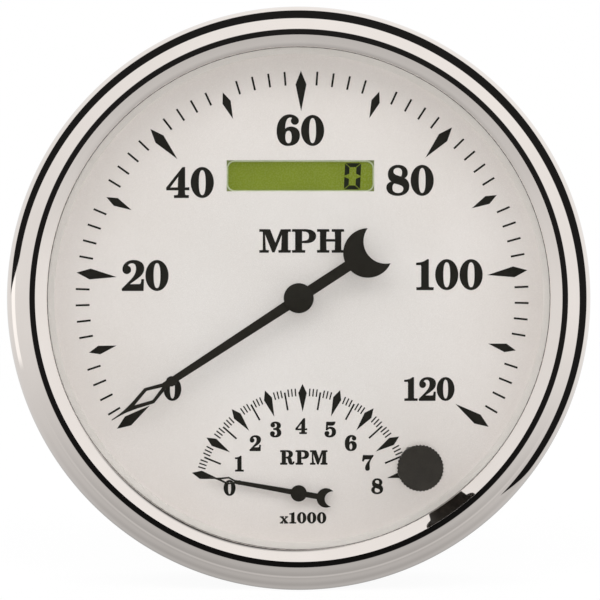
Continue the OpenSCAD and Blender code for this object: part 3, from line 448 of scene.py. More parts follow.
# Printing: each letter has its width and then its outline and holes, as paths with M, L, C and Z,
# on a height of GLYPH_HEIGHT
GLYPH_HEIGHT = 100.0
GLYPHS = {
    "0": (74, [
        "M 37 100 C 57.4 100 74 77.6 74 50 C 74 22.4 57.4 0 37 0 C 16.6 0 0 22.4 0 50 "
        "C 0 77.6 16.6 100 37 100 Z",
        "M 37 92 C 45 92 49.5 80 49.5 50 C 49.5 20 45 7 37 7 C 29 7 24.5 20 24.5 50 "
        "C 24.5 80 29 92 37 92 Z",
    ]),
    "1": (57, [
        "M 39.5 100 L 36 100 C 28 93 18 89 0 88.5 L 0 82.5 L 13 82.5 C 16 82.5 17.3 81 17.3 77 "
        "L 17.3 13 C 17.3 9 15 7.5 10 7.5 L 0.5 7.5 L 0.5 0 L 57 0 L 57 7.5 L 48 7.5 "
        "C 42.5 7.5 40.2 9 40.2 13 L 40.2 100 Z",
    ]),
    "2": (72, [
        "M 0 0 L 0 5.5 C 18 24 31 36 39 47 C 45 55.5 47.5 64 47.5 73.5 "
        "C 47.5 84.5 42.5 91.5 33.5 91.5 C 26 91.5 20 87.5 17 81.8 C 23.5 81.2 28.7 76 28.7 69 "
        "C 28.7 61.8 23 56 15.7 56 C 8.3 56 2.6 61.8 2.6 70 C 2.6 87 17 100 37.7 100 "
        "C 58.5 100 72 90 72 73.8 C 72 60.5 65.5 51.5 49.5 39.5 C 38 31 29.5 26 23 20.3 L 57 20.3 "
        "C 62 20.3 64 24 65 37.7 L 71.5 37.7 L 70.5 0 Z",
    ]),
    "3": (70, [
        "M 32 100 C 54 100 67 91 67 77 C 67 66 61.5 59 50 54.5 C 63 50.5 70 41 70 27.5 "
        "C 70 10.5 55 0 31 0 C 12 0 0 9 0 22.5 C 0 30.5 6 36.5 14.5 36.5 C 22 36.5 27.5 31 27.5 24 "
        "C 27.5 18.5 24.5 14.5 19.5 12.5 C 22 9.5 25.5 8 30 8 C 40.5 8 46 15 46 28 "
        "C 46 43 40 49.5 28 49.5 L 20.5 49.5 L 20.5 57.5 L 28 57.5 C 39.5 57.5 44.5 63.5 44.5 76 "
        "C 44.5 86.5 40 92 32 92 C 27.5 92 24 90.5 21.5 88 C 26 86 28.5 82.5 28.5 77.5 "
        "C 28.5 71 23.5 66 16.5 66 C 9 66 3.5 71 3.5 78.5 C 3.5 91 15 100 32 100 Z",
    ]),
    "4": (75, [
        "M 61.5 100 L 54 100 L 0 32 L 0 25.2 L 39.3 25.2 L 39.3 13 C 39.3 9 37 7.2 32 7.2 L 25.6 7.2 "
        "L 25.6 0 L 73.8 0 L 73.8 7.2 L 68 7.2 C 63 7.2 60.7 9 60.7 13 L 60.7 25.2 L 75.4 25.2 "
        "L 75.4 33.4 L 60.7 33.4 L 60.7 97 Z",
        "M 38.7 69.5 L 38.7 33.4 L 11.5 33.4 Z",
    ]),
    "5": (71, [
        "M 11 100 C 22 98.5 34 98 45 98.5 C 53 99 61 99.5 67.5 100.5 C 66 86 59 78.5 45 77.5 "
        "C 36 77 27 78 18.5 79.5 L 16 56 C 21.5 62.5 28.5 66 37 66 C 57 66 71 54 71 34.5 "
        "C 71 13.5 55 0 31 0 C 12 0 0 9.5 0 23 C 0 31.5 6 37.5 14 37.5 C 21.5 37.5 27 32.5 27 25.5 "
        "C 27 19.5 23.5 15 18 13.5 C 20.5 10 25 8 30.5 8 C 42 8 48.5 17 48.5 33 "
        "C 48.5 49 43 57 32.5 57 C 25.5 57 20 53.5 15.5 46 L 8 46 Z",
    ]),
    "6": (74, [
        "M 71 82 C 71 92 58 102 41.6 102 C 17 102 0 80 0 48.5 C 0 17 14 0 36.7 0 "
        "C 60 0 74.4 13 74.4 33.8 C 74.4 51 63 61.6 46.6 61.6 C 38 61.6 30.5 58 25.5 52.5 "
        "C 25.5 77 31 93.8 44 93.8 C 48 93.8 50 92.5 51.5 90.5 C 48.5 88 47 85.5 47 82 "
        "C 47 75.3 52.3 70 59 70 C 65.6 70 71 75.3 71 82 Z",
        "M 38 50.2 C 45.5 50.2 49.8 42 49.8 28.5 C 49.8 15 46 6.6 38 6.6 C 30 6.6 26.2 15 26.2 28.5 "
        "C 26.2 42 30.5 50.2 38 50.2 Z",
    ]),
    "7": (71, [
        "M 5.5 100 L 0 60.5 L 7.5 60.5 C 9 70 13 75 22 75 L 52 75 C 38 56 20 37 20 13 "
        "C 20 5 24.5 0 33 0 C 41.5 0 46 5 46 12.5 C 46 21 44.5 28 44.5 36 C 44.5 56 54 74 71 95 "
        "L 71 100 C 62 98.5 50 98 38 98 C 26 98 14 98.5 5.5 100 Z",
    ]),
    "8": (73.5, [
        "M 37 100 C 56 100 68.4 90 68.4 75 C 68.4 66 64 61 57 57.5 C 68 52 73.5 43 73.5 30 "
        "C 73.5 12 58 0 36 0 C 14 0 0 11 0 26.5 C 0 36 6 42.5 17 46 C 9 51.5 5 59.5 5 70 "
        "C 5 88 18 100 37 100 Z",
        "M 36.5 92.5 C 27 92.5 21 87 21 79 C 21 71 27 66.5 48 61.5 C 50.5 65 51.8 70 51.8 77 "
        "C 51.8 87 46 92.5 36.5 92.5 Z",
        "M 25 41 C 19.5 37.5 17.5 32 17.5 24.5 C 17.5 13.5 25 7 37 7 C 48.5 7 56 13 56 22.5 "
        "C 56 32 47 35.5 25 41 Z",
    ]),
    "M": (130, [
        "M 0 100 L 0 92.5 L 9 92.5 C 14 92.5 16 91 16 87 L 16 13 C 16 9 14 7.5 9 7.5 L 0 7.5 L 0 0 "
        "L 38.5 0 L 38.5 7.5 L 31 7.5 C 26.5 7.5 24.5 9 24.5 13 L 24.5 80 L 55.5 0 L 61.5 0 L 92.5 78 "
        "L 92.5 13 C 92.5 9 90 7.5 85 7.5 L 80 7.5 L 80 0 L 130 0 L 130 7.5 L 124.5 7.5 "
        "C 119.5 7.5 117.5 9 117.5 13 L 117.5 87 C 117.5 91 119.5 92.5 124.5 92.5 L 130 92.5 "
        "L 130 100 L 90 100 L 66.5 40 L 43.5 100 Z",
    ]),
    "P": (98, [
        "M 0 100 L 55 100 C 83 100 98 89.5 98 71.5 C 98 53 83 42 56 42 L 39.6 42 L 39.6 13 "
        "C 39.6 9 41.5 7.5 46.5 7.5 L 54 7.5 L 54 0 L 0 0 L 0 7.5 L 7 7.5 C 12.5 7.5 14.6 9 14.6 13 "
        "L 14.6 87 C 14.6 91 12.5 92.5 7 92.5 L 0 92.5 Z",
        "M 39.6 93 L 51 93 C 65 93 72 86 72 71.5 C 72 56.5 65 49.5 51 49.5 L 39.6 49.5 Z",
    ]),
    "H": (111.6, [
        "M 0 100 L 50 100 L 50 92.5 L 43.5 92.5 C 38.5 92.5 36.7 91 36.7 87 L 36.7 56.5 L 75.5 56.5 "
        "L 75.5 87 C 75.5 91 73.5 92.5 68.5 92.5 L 61.6 92.5 L 61.6 100 L 111.6 100 L 111.6 92.5 "
        "L 105 92.5 C 100 92.5 98.5 91 98.5 87 L 98.5 13 C 98.5 9 100 7.5 105 7.5 L 111.6 7.5 "
        "L 111.6 0 L 61.6 0 L 61.6 7.5 L 68.5 7.5 C 73.5 7.5 75.5 9 75.5 13 L 75.5 48.5 L 36.7 48.5 "
        "L 36.7 13 C 36.7 9 38.5 7.5 43.5 7.5 L 50 7.5 L 50 0 L 0 0 L 0 7.5 L 7 7.5 "
        "C 12 7.5 13.7 9 13.7 13 L 13.7 87 C 13.7 91 12 92.5 7 92.5 L 0 92.5 Z",
    ]),
    "R": (105, [
        "M 0 100 L 52 100 C 78 100 92 90.5 92 74.5 C 92 61.5 83 53 67 49.5 C 77 47 82.5 41.5 84 31 "
        "L 86 17 C 86.7 11 88.5 8.5 91.5 8.5 C 95 8.5 97 11.5 98 18 L 105 18 C 104 6.5 97.5 0 86 0 "
        "C 73 0 65.5 5.5 63.5 18 L 61.5 31.5 C 60 41.5 55.5 45.5 46 45.5 L 38.5 45.5 L 38.5 13 "
        "C 38.5 9 40.5 7.5 45.5 7.5 L 52 7.5 L 52 0 L 0 0 L 0 7.5 L 7 7.5 C 12 7.5 14 9 14 13 L 14 87 "
        "C 14 91 12 92.5 7 92.5 L 0 92.5 Z",
        "M 38.5 93 L 49 93 C 61.5 93 67.5 86.5 67.5 73.5 C 67.5 59.5 61.5 53 49 53 L 38.5 53 Z",
    ]),
    "x": (70, [
        "M 0 62 L 33 62 L 33 56 L 27.5 56 L 39 40 L 49 53 C 50.5 55 50 56 47 56 L 44 56 L 44 62 "
        "L 68 62 L 68 56 C 62 56 59 54.5 55.5 50 L 43.5 34.5 L 62 8.5 C 63.5 6.5 65 6 70 6 L 70 0 "
        "L 36 0 L 36 6 L 41 6 L 31 21 L 21 8.5 C 19.5 6.7 20 6 23.5 6 L 26.5 6 L 26.5 0 L 0 0 L 0 6 "
        "C 5.5 6 9 7.5 13 12.5 L 27.5 30.5 L 10 54 C 8.5 55.7 7 56 0 56 Z",
    ]),
}
LETTER_GAP = 6.5
CURVE_STEPS = 10
SAME_POINT = 0.01


def trace(path):
    """The points of one closed outline."""
    words = path.split()
    points = []
    i = 0
    while i < len(words):
        letter = words[i]
        if letter in "ML":
            points.append((float(words[i + 1]), float(words[i + 2])))
            i += 3
        elif letter == "C":
            a = points[-1]
            b, c, d = [(float(words[i + k]), float(words[i + k + 1])) for k in (1, 3, 5)]
            for step in range(1, CURVE_STEPS + 1):
                t = step / CURVE_STEPS
                u = 1.0 - t
                points.append(tuple(u**3 * a[n] + 3 * u * u * t * b[n] + 3 * u * t * t * c[n] + t**3 * d[n]
                                    for n in (0, 1)))
            i += 7
        else:
            i += 1
    if math.dist(points[0], points[-1]) < SAME_POINT:
        points.pop()
    return points


def area(outline):
    """Twice the area inside an outline, positive where it runs anticlockwise."""
    return sum(a[0] * b[1] - b[0] * a[1] for a, b in zip(outline, outline[1:] + outline[:1]))


def embolden(outline, bold):
    """An anticlockwise outline moved out by bold; a hole runs clockwise, and closes up."""
    moved = []
    for i, (x, y) in enumerate(outline):
        before, after = outline[i - 1], outline[(i + 1) % len(outline)]
        dx, dy = after[0] - before[0], after[1] - before[1]
        size = math.hypot(dx, dy)
        moved.append((x + dy / size * bold, y - dx / size * bold))
    return moved


def crossing(a, b, c, d):
    """Where the lines from a to b and from c to d cross, or None."""
    ux, uy = b[0] - a[0], b[1] - a[1]
    vx, vy = d[0] - c[0], d[1] - c[1]
    turn = ux * vy - uy * vx
    if turn == 0.0:
        return None
    s = ((c[0] - a[0]) * vy - (c[1] - a[1]) * vx) / turn
    t = ((c[0] - a[0]) * uy - (c[1] - a[1]) * ux) / turn
    if 0.0 <= s <= 1.0 and 0.0 <= t <= 1.0:
        return (a[0] + s * ux, a[1] + s * uy)
    return None


def without_loops(outline):
    """The outline without the small loops that embolden leaves in tight inside corners."""
    reach = 2 * CURVE_STEPS
    i = 0
    while i < len(outline) - 2:
        for j in range(min(i + reach, len(outline) - 2), i + 1, -1):
            meet = crossing(outline[i], outline[i + 1], outline[j], outline[j + 1])
            if meet:
                outline[i + 1:j + 1] = [meet]
                break
        i += 1
    return outline


def words_at(text, centre, height, bold, width=None, gap=LETTER_GAP):
    """Outlines of a word with its middle at centre; width squeezes or stretches it to fit."""
    scale = height / GLYPH_HEIGHT
    total = sum(GLYPHS[c][0] for c in text) + gap * (len(text) - 1)
    wide = width / total if width else scale
    outlines = []
    x = -total / 2.0
    for letter in text:
        advance, paths = GLYPHS[letter]
        for hole, path in enumerate(paths):
            outline = [(centre[0] + (x + px) * wide, centre[1] + (py - GLYPH_HEIGHT / 2.0) * scale)
                       for px, py in trace(path)]
            if (area(outline) < 0.0) != (hole > 0):
                outline.reverse()
            outlines.append(without_loops(embolden(outline, bold)))
        x += advance + gap
    return outlines


def bar(angle, inner, outer, width, centre=(0.0, 0.0)):
    out = polar(1.0, angle)
    side = (-out[1] * width / 2.0, out[0] * width / 2.0)
    a = polar(inner, angle, centre)
    b = polar(outer, angle, centre)
    return [(a[0] + side[0], a[1] + side[1]), (a[0] - side[0], a[1] - side[1]),
            (b[0] - side[0], b[1] - side[1]), (b[0] + side[0], b[1] + side[1])]


def diamond(angle, inner, widest, outer, half, centre=(0.0, 0.0)):
    out = polar(1.0, angle)
    mid = polar(widest, angle, centre)
    return [polar(inner, angle, centre), (mid[0] + out[1] * half, mid[1] - out[0] * half),
            polar(outer, angle, centre), (mid[0] - out[1] * half, mid[1] + out[0] * half)]


def filled(name, outlines, thick):
    """A thin solid from closed outlines, holes included, in dial millimetres about z = 0."""
    curve = bpy.data.curves.new(name, "CURVE")
    curve.dimensions = "2D"
    curve.fill_mode = "BOTH"
    curve.extrude = thick / 2.0
    for outline in outlines:
        spline = curve.splines.new("POLY")
        spline.points.add(len(outline) - 1)
        for point, (x, y) in zip(spline.points, outline):
            point.co = (x, y, 0.0, 1.0)
        spline.use_cyclic_u = True
    helper = bpy.data.objects.new(name + "_curve", curve)
    scene.collection.objects.link(helper)
    shape = helper.evaluated_get(bpy.context.evaluated_depsgraph_get())
    mesh = bpy.data.meshes.new_from_object(shape)
    bpy.data.objects.remove(helper)
    bpy.data.curves.remove(curve)
    mesh.name = name
    return mesh


def print_on(name, outlines, mat, height, shift=(0.0, 0.0)):
    mesh = filled(name, outlines, INK)
    for vertex in mesh.vertices:
        x, y, z = vertex.co
        vertex.co = place(x + shift[0], y + shift[1], height + z + INK / 4.0)
    mesh.materials.clear()
    finish_piece(name, mesh, mat, "gauge")


# Scales: the angle of nought, the angle from one unit to the next, and the marks.
# A diamond has its inner, widest and outer radius and half its width; a bar its two radii and its width.
SPEED_START, SPEED_STEP = 215.3, 250.0 / 120.0
REV_START, REV_STEP = 167.3, 19.25
SPEED_MAIN = (43.7, 50.0, 53.2, 1.28)
SPEED_HALF = (44.9, 49.1, 51.6, 1.03)
SPEED_FINE = (49.85, 53.1, 0.47)
REV_MAIN = (20.14, 24.6, 26.73, 1.0)
REV_HALF = (20.85, 25.05, 0.42)
REV_FINE = (23.85, 25.65, 0.32)

# Lettering: middle of each numeral on the dial, then the height and the boldness of each kind
LARGE_NUMERALS = {"60": (-0.4, 39.2), "80": (25.3, 27.5), "40": (-26.3, 27.0), "20": (-36.8, 5.2),
                  "100": (34.5, 5.4)}
SMALL_NUMERALS = {"120": (29.8, -21.4), "0": (-30.4, -21.4)}
REV_NUMERALS = {"0": (-17.0, -44.6), "1": (-14.7, -38.9), "2": (-11.0, -34.1), "3": (-6.2, -30.9),
                "4": (-0.2, -30.1), "5": (6.6, -30.9), "6": (11.4, -34.1), "7": (15.4, -38.7),
                "8": (17.6, -44.2)}
LARGE_TYPE = (7.1, 0.095)
SMALL_TYPE = (5.4, 0.1)
REV_TYPE = (3.55, 0.1)


def print_ink(name, outlines):
    print_on(name, outlines, INK_BLACK, DIAL_TOP, PRINT_SHIFT)


def print_speed_scale():
    marks = []
    for speed in range(0, 121, 2):
        angle = SPEED_START - speed * SPEED_STEP
        if speed % 20 == 0:
            marks.append(diamond(angle, *SPEED_MAIN))
        elif speed % 10 == 0:
            marks.append(diamond(angle, *SPEED_HALF))
        else:
            marks.append(bar(angle, *SPEED_FINE))
    print_ink("speed_marks", marks)
    numerals = []
    for places, (height, bold) in ((LARGE_NUMERALS, LARGE_TYPE), (SMALL_NUMERALS, SMALL_TYPE)):
        for text, centre in places.items():
            numerals += words_at(text, centre, height, bold)
    print_ink("speed_numerals", numerals)


def print_units():
    units = words_at("MPH", (-0.1, 13.3), height=5.3, bold=0.12, width=19.8)
    units += words_at("RPM", (0.4, -37.45), height=3.2, bold=0.12, width=11.0, gap=12.0)
    units += words_at("x1000", (0.2, -51.6), height=2.55, bold=0.08, width=10.8, gap=10.0)
    print_ink("unit_words", units)


def print_rev_scale():
    """Ten steps to a numeral; the two beside each diamond are left out, as on the dial."""
    marks = []
    for tenth in range(0, 81):
        angle = REV_START - tenth / 10.0 * REV_STEP
        if tenth % 10 == 0:
            marks.append(diamond(angle, *REV_MAIN, REV_PRINT))
        elif tenth % 5 == 0:
            marks.append(bar(angle, *REV_HALF, REV_PRINT))
        elif tenth % 10 not in (1, 9):
            marks.append(bar(angle, *REV_FINE, REV_PRINT))
    print_ink("rev_marks", marks)
    numerals = []
    for text, centre in REV_NUMERALS.items():
        numerals += words_at(text, centre, *REV_TYPE)
    print_ink("rev_numerals", numerals)


def make_digit():
    """One seven segment nought at the right of the display, its bars mitred at the corners."""
    left, right, low, high = 10.75, 14.55, 25.55, 31.75
    wide, tall = 1.1, 0.95
    slip = 0.12
    slant = 0.05
    middle = (low + high) / 2.0

    def lean(*corners):
        return [(x + (y - middle) * slant, y) for x, y in corners]

    outlines = []
    for edge, inward in ((high, -tall), (low, tall)):
        outlines.append(lean((left + slip, edge), (right - slip, edge),
                             (right - wide - slip, edge + inward), (left + wide + slip, edge + inward)))
    for edge, inward in ((left, wide), (right, -wide)):
        for end, up in ((high, -1.0), (low, 1.0)):
            outlines.append(lean((edge, end + up * slip), (edge, middle - up * slip),
                                 (edge + inward, middle - up * (tall / 2.0 + slip)),
                                 (edge + inward, end + up * (tall + slip))))
    print_on("display_digit", outlines, SEGMENT_DARK, GLASS_TOP)


def make_painted_highlight_rim():
    """A raised lip at the edge of the display's frame, just inside the window; its pale colour is a painted
    highlight of its rounded edge.
    """
    low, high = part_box("display_glass")
    centre = ((low.x + high.x) / 2.0 / MM, (low.z + high.z) / 2.0 / MM)
    wide, tall, corner = 34.6, 7.3, 1.8
    line = 0.32
    rise = 0.4

    def ring(inset, z):
        r = corner - inset
        x, y = wide / 2.0 - corner, tall / 2.0 - corner
        row = []
        for start, (sx, sy) in zip((0.0, 90.0, 180.0, 270.0), ((1, 1), (-1, 1), (-1, -1), (1, -1))):
            row += arc((centre[0] + sx * x, centre[1] + sy * y), r, start, start + 90.0, 8)
        return [(*point, z) for point in row]

    rows = [ring(0.0, GLASS_TOP), ring(0.0, GLASS_TOP + rise), ring(line * 0.5, GLASS_TOP + rise),
            ring(line, GLASS_TOP + rise * 0.6), ring(line, GLASS_TOP)]
    mesh = mesh_of("display_rim_highlight", *grid(rows, True))
    finish_piece("display_rim_highlight", mesh, DISPLAY_EDGE_HIGHLIGHT, "gauge")


def make_button():
    """The push button: a hollow taper and a knurled head with a round edge and a shallow dish."""
    low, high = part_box("button_cap")
    cx, cy = (low.x + high.x) / 2.0 / MM, (low.z + high.z) / 2.0 / MM
    radius = (high.x - low.x) / 2.0 / MM
    back, front = -high.y / MM, -low.y / MM
    ribs = 40
    steps = ribs * 6
    groove = 0.22
    edge, edge_steps = 0.55, 8
    dish, dish_steps = 0.35, 13
    head = 1.5
    under = hollow = front - head
    stem = 1.77
    foot = 3.1
    chamfer = 0.15
    neck = 4.17
    fillet = ((0.0, 0.3), (0.1, 0.08), (0.3, 0.0))
    bevel = 0.3
    skin = 0.02
    land = 0.25

    def ring(r, z, knurl=0.0):
        row = []
        for k in range(steps):
            wave = abs(math.cos(math.pi * ribs * k / steps))
            x, y = polar(r - knurl * groove * (1.0 - wave), 360.0 * k / steps, (cx, cy))
            row.append((x, y, z))
        return row

    rows = [ring(stem, hollow), ring(stem, back), ring(foot - chamfer, back), ring(foot, back + chamfer)]
    rows += [ring(neck + out, under - down) for out, down in fillet]
    rows += [ring(radius - bevel, under), ring(radius - skin, under + bevel - skin, 1.0),
             ring(radius - skin, front - edge - land, 1.0)]
    for i in range(1, edge_steps + 1):
        angle = math.radians(90.0 * i / edge_steps)
        inward, down = edge * (1.0 - math.cos(angle)), edge * (1.0 - math.sin(angle))
        rows.append(ring(radius - inward - skin, front - down, 1.0 - i / edge_steps))
    flat = radius - edge
    for i in range(1, dish_steps):
        share = 1.0 - i / dish_steps
        rows.append(ring(flat * share, front - dish * (1.0 - share * share)))
    points, faces = grid(rows, False)
    tip = len(points)
    points.append((cx, cy, front - dish))
    last = (len(rows) - 1) * steps
    faces += [(last + k, last + (k + 1) % steps, tip) for k in range(steps)]
    roof = len(points)
    points.append((cx, cy, hollow))
    faces += [((k + 1) % steps, k, roof) for k in range(steps)]
    mesh = mesh_of("button_knob", points, faces)
    finish_piece("button_knob", mesh, FINISH["button_black"], "trip_button",
                 ["button_cap"], sharp=50.0)


def make_spring():
    """The return spring as one smooth wire."""
    low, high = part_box("button_spring")
    centre = ((low.x + high.x) / 2.0 / MM, (low.z + high.z) / 2.0 / MM)
    back, front = -high.y / MM, -low.y / MM
    wire_r = SPRING_WIRE / 2.0
    coil_r = (high.x - low.x) / 2.0 / MM - wire_r
    sides = 10
    per_turn = 36
    steps = per_turn * SPRING_TURNS
    rise = (front - back - SPRING_WIRE) / steps
    rows = []
    for i in range(steps + 1):
        turn = 360.0 * SPRING_TURNS * i / steps
        row = []
        for k in range(sides):
            across, along = polar(wire_r, -360.0 * k / sides)
            row.append((*polar(coil_r + across, turn, centre), back + wire_r + rise * i + along))
        rows.append(row)
    points, faces = grid(rows, False)
    faces.append(tuple(reversed(range(sides))))
    faces.append(tuple(len(points) - sides + k for k in range(sides)))
    mesh = mesh_of("return_spring", points, faces)
    obj = finish_piece("return_spring", mesh, FINISH["plated_steel"], "gauge",
                       ["button_spring"], sharp=60.0)
    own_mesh(obj)


def make_studs():
    """A plain root under each nut, then a threaded end that tapers at its tip."""
    low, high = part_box("mounting_studs")
    tip, head = -high.y / MM, -low.y / MM
    root_r, thread_r = 2.5, 2.0
    spacing = (high.x - low.x) / 2.0 / MM - root_r
    pitch = 0.7
    depth = 0.38
    root_beyond = 0.5
    root_end = -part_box("stud_nuts")[1].y / MM - root_beyond
    tip_inset, tip_long = 0.75, 0.25
    taper, taper_rate = 0.5, 0.6
    run_out = 0.8
    chamfer = 0.2
    steps = 28
    per_turn = 8
    count = int((root_end - tip) / pitch * per_turn)
    points, faces = [], []
    for side in (-1, 1):
        centre = (side * spacing, 0.0)

        def ring(radius, z):
            return [(*polar(radius, 360.0 * k / steps, centre), z) for k in range(steps)]

        rows = [ring(thread_r - tip_inset, tip)]
        for i in range(count + 1):
            z = tip + tip_long + (root_end - tip - tip_long) * i / count
            ease = min(1.0, (z - tip) / run_out, (root_end - z) / run_out)
            lead = max(0.0, taper - (z - tip) * taper_rate)
            row = []
            for k in range(steps):
                phase = (z / pitch - k / steps) % 1.0
                cut = abs(2.0 * phase - 1.0) * depth * ease
                row.append((*polar(thread_r - cut - lead, 360.0 * k / steps, centre), z))
            rows.append(row)
        rows += [ring(root_r - chamfer, root_end), ring(root_r, root_end + chamfer), ring(root_r, head)]
        some, more = grid(rows, False)
        start = len(points)
        points += some
        faces += [tuple(start + v for v in face) for face in more]
        faces.append(tuple(start + k for k in reversed(range(steps))))
        faces.append(tuple(start + (len(rows) - 1) * steps + k for k in range(steps)))
    mesh = mesh_of("threaded_studs", points, faces)
    finish_piece("threaded_studs", mesh, FINISH["plated_steel"], "gauge",
                 ["mounting_studs"], sharp=50.0)


def make_nuts():
    """Hexagon nuts with their corners turned off on both faces and a chamfered hole."""
    low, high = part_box("stud_nuts")
    back, front = -high.y / MM, -low.y / MM
    flat = (high.z - low.z) / 2.0 / MM
    reach = (high.x - low.x) / 2.0 / MM
    corner = flat / math.cos(math.radians(30.0))
    spacing = reach - corner
    hole = 2.52
    chamfer = 0.25
    steps = 72
    face_share, corner_slope = 0.97, 0.577
    face_r = flat * face_share
    points, faces = [], []
    for side in (-1, 1):
        centre = (side * spacing, 0.0)

        def ring(r, z):
            return [(*polar(r, 360.0 * k / steps, centre), z) for k in range(steps)]

        def hexagon(z, inward):
            row = []
            for k in range(steps):
                angle = 360.0 * k / steps
                r = flat / math.cos(math.radians((angle % 60.0) - 30.0))
                row.append((*polar(r, angle, centre), z + inward * max(0.0, r - face_r) * corner_slope))
            return row

        rows = [ring(hole + chamfer, back), ring(face_r, back), hexagon(back, 1.0),
                hexagon(front, -1.0), ring(face_r, front), ring(hole + chamfer, front),
                ring(hole, front - chamfer), ring(hole, back + chamfer)]
        some, more = grid(rows, True)
        start = len(points)
        points += some
        faces += [tuple(start + v for v in face) for face in more]
    mesh = mesh_of("hex_nuts", points, faces)
    finish_piece("hex_nuts", mesh, FINISH["plated_steel"], "gauge", ["stud_nuts"],
                 sharp=25.0)


# Width of the softened edges, by CAD node
SOFT_EDGES = {"lens": 0.3, "case": 0.25, "socket_shell": 0.3, "socket_pins": 0.12, "stud_washers": 0.12,
              "speed_pointer": 0.12, "rev_pointer": 0.1, "rev_cap": 0.18, "speed_cap": 0.1,
              "display_frame": 0.1, "button_bush": 0.15, "bush_nut": 0.15, "circuit_board": 0.15,
              "board_chips": 0.12, "board_capacitors": 0.3, "dial": 0.05, "spacer_ring": 0.2,
              "chassis": 0.2}


def dress_nodes():
    """Every CAD node takes the finish its record names; those in SOFT_EDGES have their edges softened."""
    soft_steps, soft_angle = 2, 35.0
    for part in frame["record"]["subparts"]:
        slots = frame["nodes"][part["node"]].data.materials
        slots.clear()
        slots.append(FINISH[part["material_slot"]])
    for name, width in SOFT_EDGES.items():
        bevel = frame["nodes"][name].modifiers.new("soft_edge", "BEVEL")
        bevel.width = width * MM
        bevel.segments = soft_steps
        bevel.limit_method = "ANGLE"
        bevel.angle_limit = math.radians(soft_angle)


# Studio
def card_light(maths, tilt, turn, height):
    """White cards, darker towards the bottom, with faint rings, a strip and a patch of more light."""
    plus, minus, times, smooth = maths.plus, maths.minus, maths.times, maths.smooth
    card_base, card_rise, top_rise = 0.43, 0.43, 0.04
    ring_depth, ring_start, ring_rate = 0.08, 24.0, math.radians(7.0)
    left_loss = 0.1
    below = minus(1.0, smooth(height, -0.95, -0.3))
    rings = maths.cosine(times(minus(tilt, ring_start), ring_rate))
    streak = plus(times(times(rings, below), ring_depth), 1.0)
    left = maths.most(times(maths.cosine(turn), -1.0), 0.0)
    shade = times(streak, minus(1.0, times(left, left_loss)))
    level = plus(times(smooth(height, -1.05, 0.05), card_rise), card_base)
    level = times(plus(level, times(smooth(height, 0.2, 0.8), top_rise)), shade)
    strip_rise = 0.13
    strip = times(times(smooth(tilt, 52.0, 55.0), smooth(tilt, 63.0, 60.0)), below)
    level = plus(level, times(strip, strip_rise))
    patch_rise, patch_axis = 0.32, math.radians(-176.0)
    patch = times(times(smooth(tilt, 80.0, 85.0), smooth(tilt, 107.0, 103.0)),
                  smooth(maths.cosine(turn, patch_axis), 0.982, 0.992))
    return plus(level, times(patch, patch_rise))


def dark_band(maths, tilt, turn, x):
    """A dark band between the cards, widest about its axis; far from it, one edge is cut at each side."""
    plus, minus, times, smooth = maths.plus, maths.minus, maths.times, maths.smooth
    axis = math.radians(67.5)
    starts, narrows, ends, cut_depth = 62.0, 8.6, 111.0, 44.0
    along = maths.cosine(turn, axis)
    cut = times(smooth(along, -0.23, -0.42), cut_depth)
    right_cut = times(cut, maths.node("GREATER_THAN", x, 0.0))
    lower = plus(times(minus(1.0, along), narrows), starts)
    lower = plus(lower, minus(cut, right_cut))
    upper = minus(ends, right_cut)
    return times(smooth(minus(tilt, lower), -1.0, 1.0), smooth(minus(upper, tilt), -1.0, 1.0))


def studio_world():
    """The room in the chrome; rays straight from the camera see plain white.

    tilt is the angle in degrees from the camera's direction, and turn the angle about it.
    """
    world = bpy.data.worlds.new("studio")
    scene.world = world
    world.use_nodes = True
    tree = world.node_tree
    tree.nodes.clear()
    maths = Maths(tree)
    coords = tree.nodes.new("ShaderNodeTexCoord")
    split = tree.nodes.new("ShaderNodeSeparateXYZ")
    tree.links.new(coords.outputs["Generated"], split.inputs["Vector"])
    x, y, z = (split.outputs[k] for k in "XYZ")
    tilt = maths.times(maths.node("ARCCOSINE", maths.times(y, -1.0)), 180.0 / math.pi)
    turn = maths.node("ARCTAN2", z, x)
    height = maths.node("SINE", turn)
    darkest = 0.985
    lens = maths.minus(1.0, maths.smooth(tilt, 13.5, 15.5))
    dark = maths.most(dark_band(maths, tilt, turn, x), lens)
    light = maths.times(card_light(maths, tilt, turn, height), maths.minus(1.0, maths.times(dark, darkest)))
    path = tree.nodes.new("ShaderNodeLightPath")
    seen = maths.most(light, path.outputs["Is Camera Ray"])
    background = tree.nodes.new("ShaderNodeBackground")
    background.inputs["Color"].default_value = (1.0, 1.0, 1.0, 1.0)
    tree.links.new(seen, background.inputs["Strength"])
    output = tree.nodes.new("ShaderNodeOutputWorld")
    tree.links.new(background.outputs["Background"], output.inputs["Surface"])


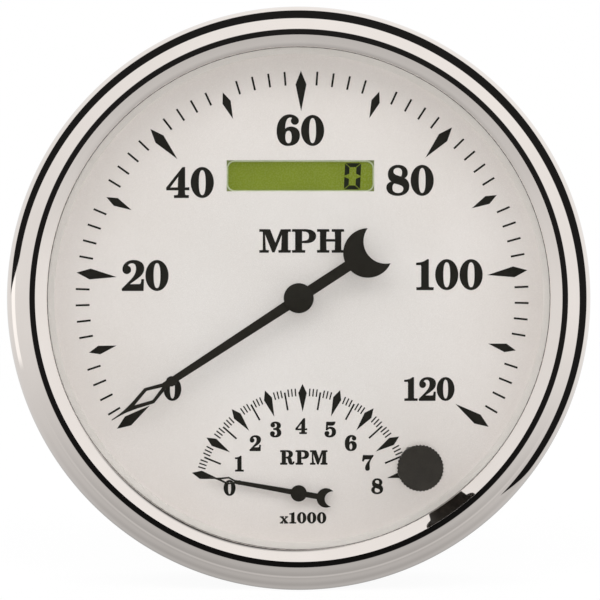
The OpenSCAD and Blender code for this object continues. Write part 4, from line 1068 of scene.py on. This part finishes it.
def studio_floor():
    """White paper under the bezel, mostly glowing for the camera so that it stays white."""
    glow_strength, glow_share = 1.1, 0.85
    mat, tree, shader = new_material("floor_paper", rough=0.7)
    grain = noise(tree, coordinates(tree), per_metre=700.0)
    tree.links.new(ramp(tree, grain, [(0.3, (0.80, 0.80, 0.80)), (0.7, (0.84, 0.84, 0.84))]),
                   shader.inputs["Base Color"])
    glow = tree.nodes.new("ShaderNodeEmission")
    glow.inputs["Strength"].default_value = glow_strength
    path = tree.nodes.new("ShaderNodeLightPath")
    share = Maths(tree).times(path.outputs["Is Camera Ray"], glow_share)
    mix = tree.nodes.new("ShaderNodeMixShader")
    tree.links.new(share, mix.inputs["Fac"])
    tree.links.new(shader.outputs["BSDF"], mix.inputs[1])
    tree.links.new(glow.outputs["Emission"], mix.inputs[2])
    tree.links.new(mix.outputs["Shader"], tree.nodes["Material Output"].inputs["Surface"])
    half = 3000.0
    drop = -BEZEL_R
    corners = [(-half, drop, half), (half, drop, half), (half, drop, -half), (-half, drop, -half)]
    mesh = mesh_of("floor", corners, [(0, 1, 2, 3)])
    mesh.materials.append(mat)
    floor = bpy.data.objects.new("floor", mesh)
    floor.visible_glossy = False
    scene.collection.objects.link(floor)


def studio_lamp(name, location, wide, tall, watts):
    """A soft lamp that looks at the dial's middle and leaves no image in the chrome."""
    lamp = bpy.data.lights.new(name, "AREA")
    lamp.shape = "RECTANGLE"
    lamp.size = wide
    lamp.size_y = tall
    lamp.energy = watts
    obj = bpy.data.objects.new(name, lamp)
    obj.location = location
    obj.rotation_euler = (-Vector(location)).to_track_quat("-Z", "Y").to_euler()
    obj.visible_glossy = False
    scene.collection.objects.link(obj)


def make_camera():
    """Square on to the dial; the picture's middle is a little off the gauge's, as in the photo."""
    distance = 500.0
    frame_width = 138.58
    outline = 2.6
    sensor = 36.0
    picture_px = 600.0
    right_px, down_px = 1.3, 1.8
    data = bpy.data.cameras.new("camera")
    data.sensor_width = sensor
    data.lens = sensor * (distance - outline) / frame_width
    data.shift_x = right_px / picture_px
    data.shift_y = -down_px / picture_px
    data.clip_start = 0.01
    camera = bpy.data.objects.new("camera", data)
    camera.location = place(0.0, 0.0, distance)
    camera.rotation_euler = (math.radians(90.0), 0.0, 0.0)
    scene.collection.objects.link(camera)
    scene.camera = camera


make_camera()
dress_nodes()
make_bezel()
print_speed_scale()
print_units()
print_rev_scale()
make_digit()
make_painted_highlight_rim()
make_button()
make_spring()
make_studs()
make_nuts()
studio_world()
studio_floor()
studio_lamp("front_light", (0.0, -0.62, 0.0), wide=0.05, tall=0.05, watts=1.5)
studio_lamp("top_light", (0.0, -1.2, 0.9), wide=3.0, tall=0.6, watts=5.3)
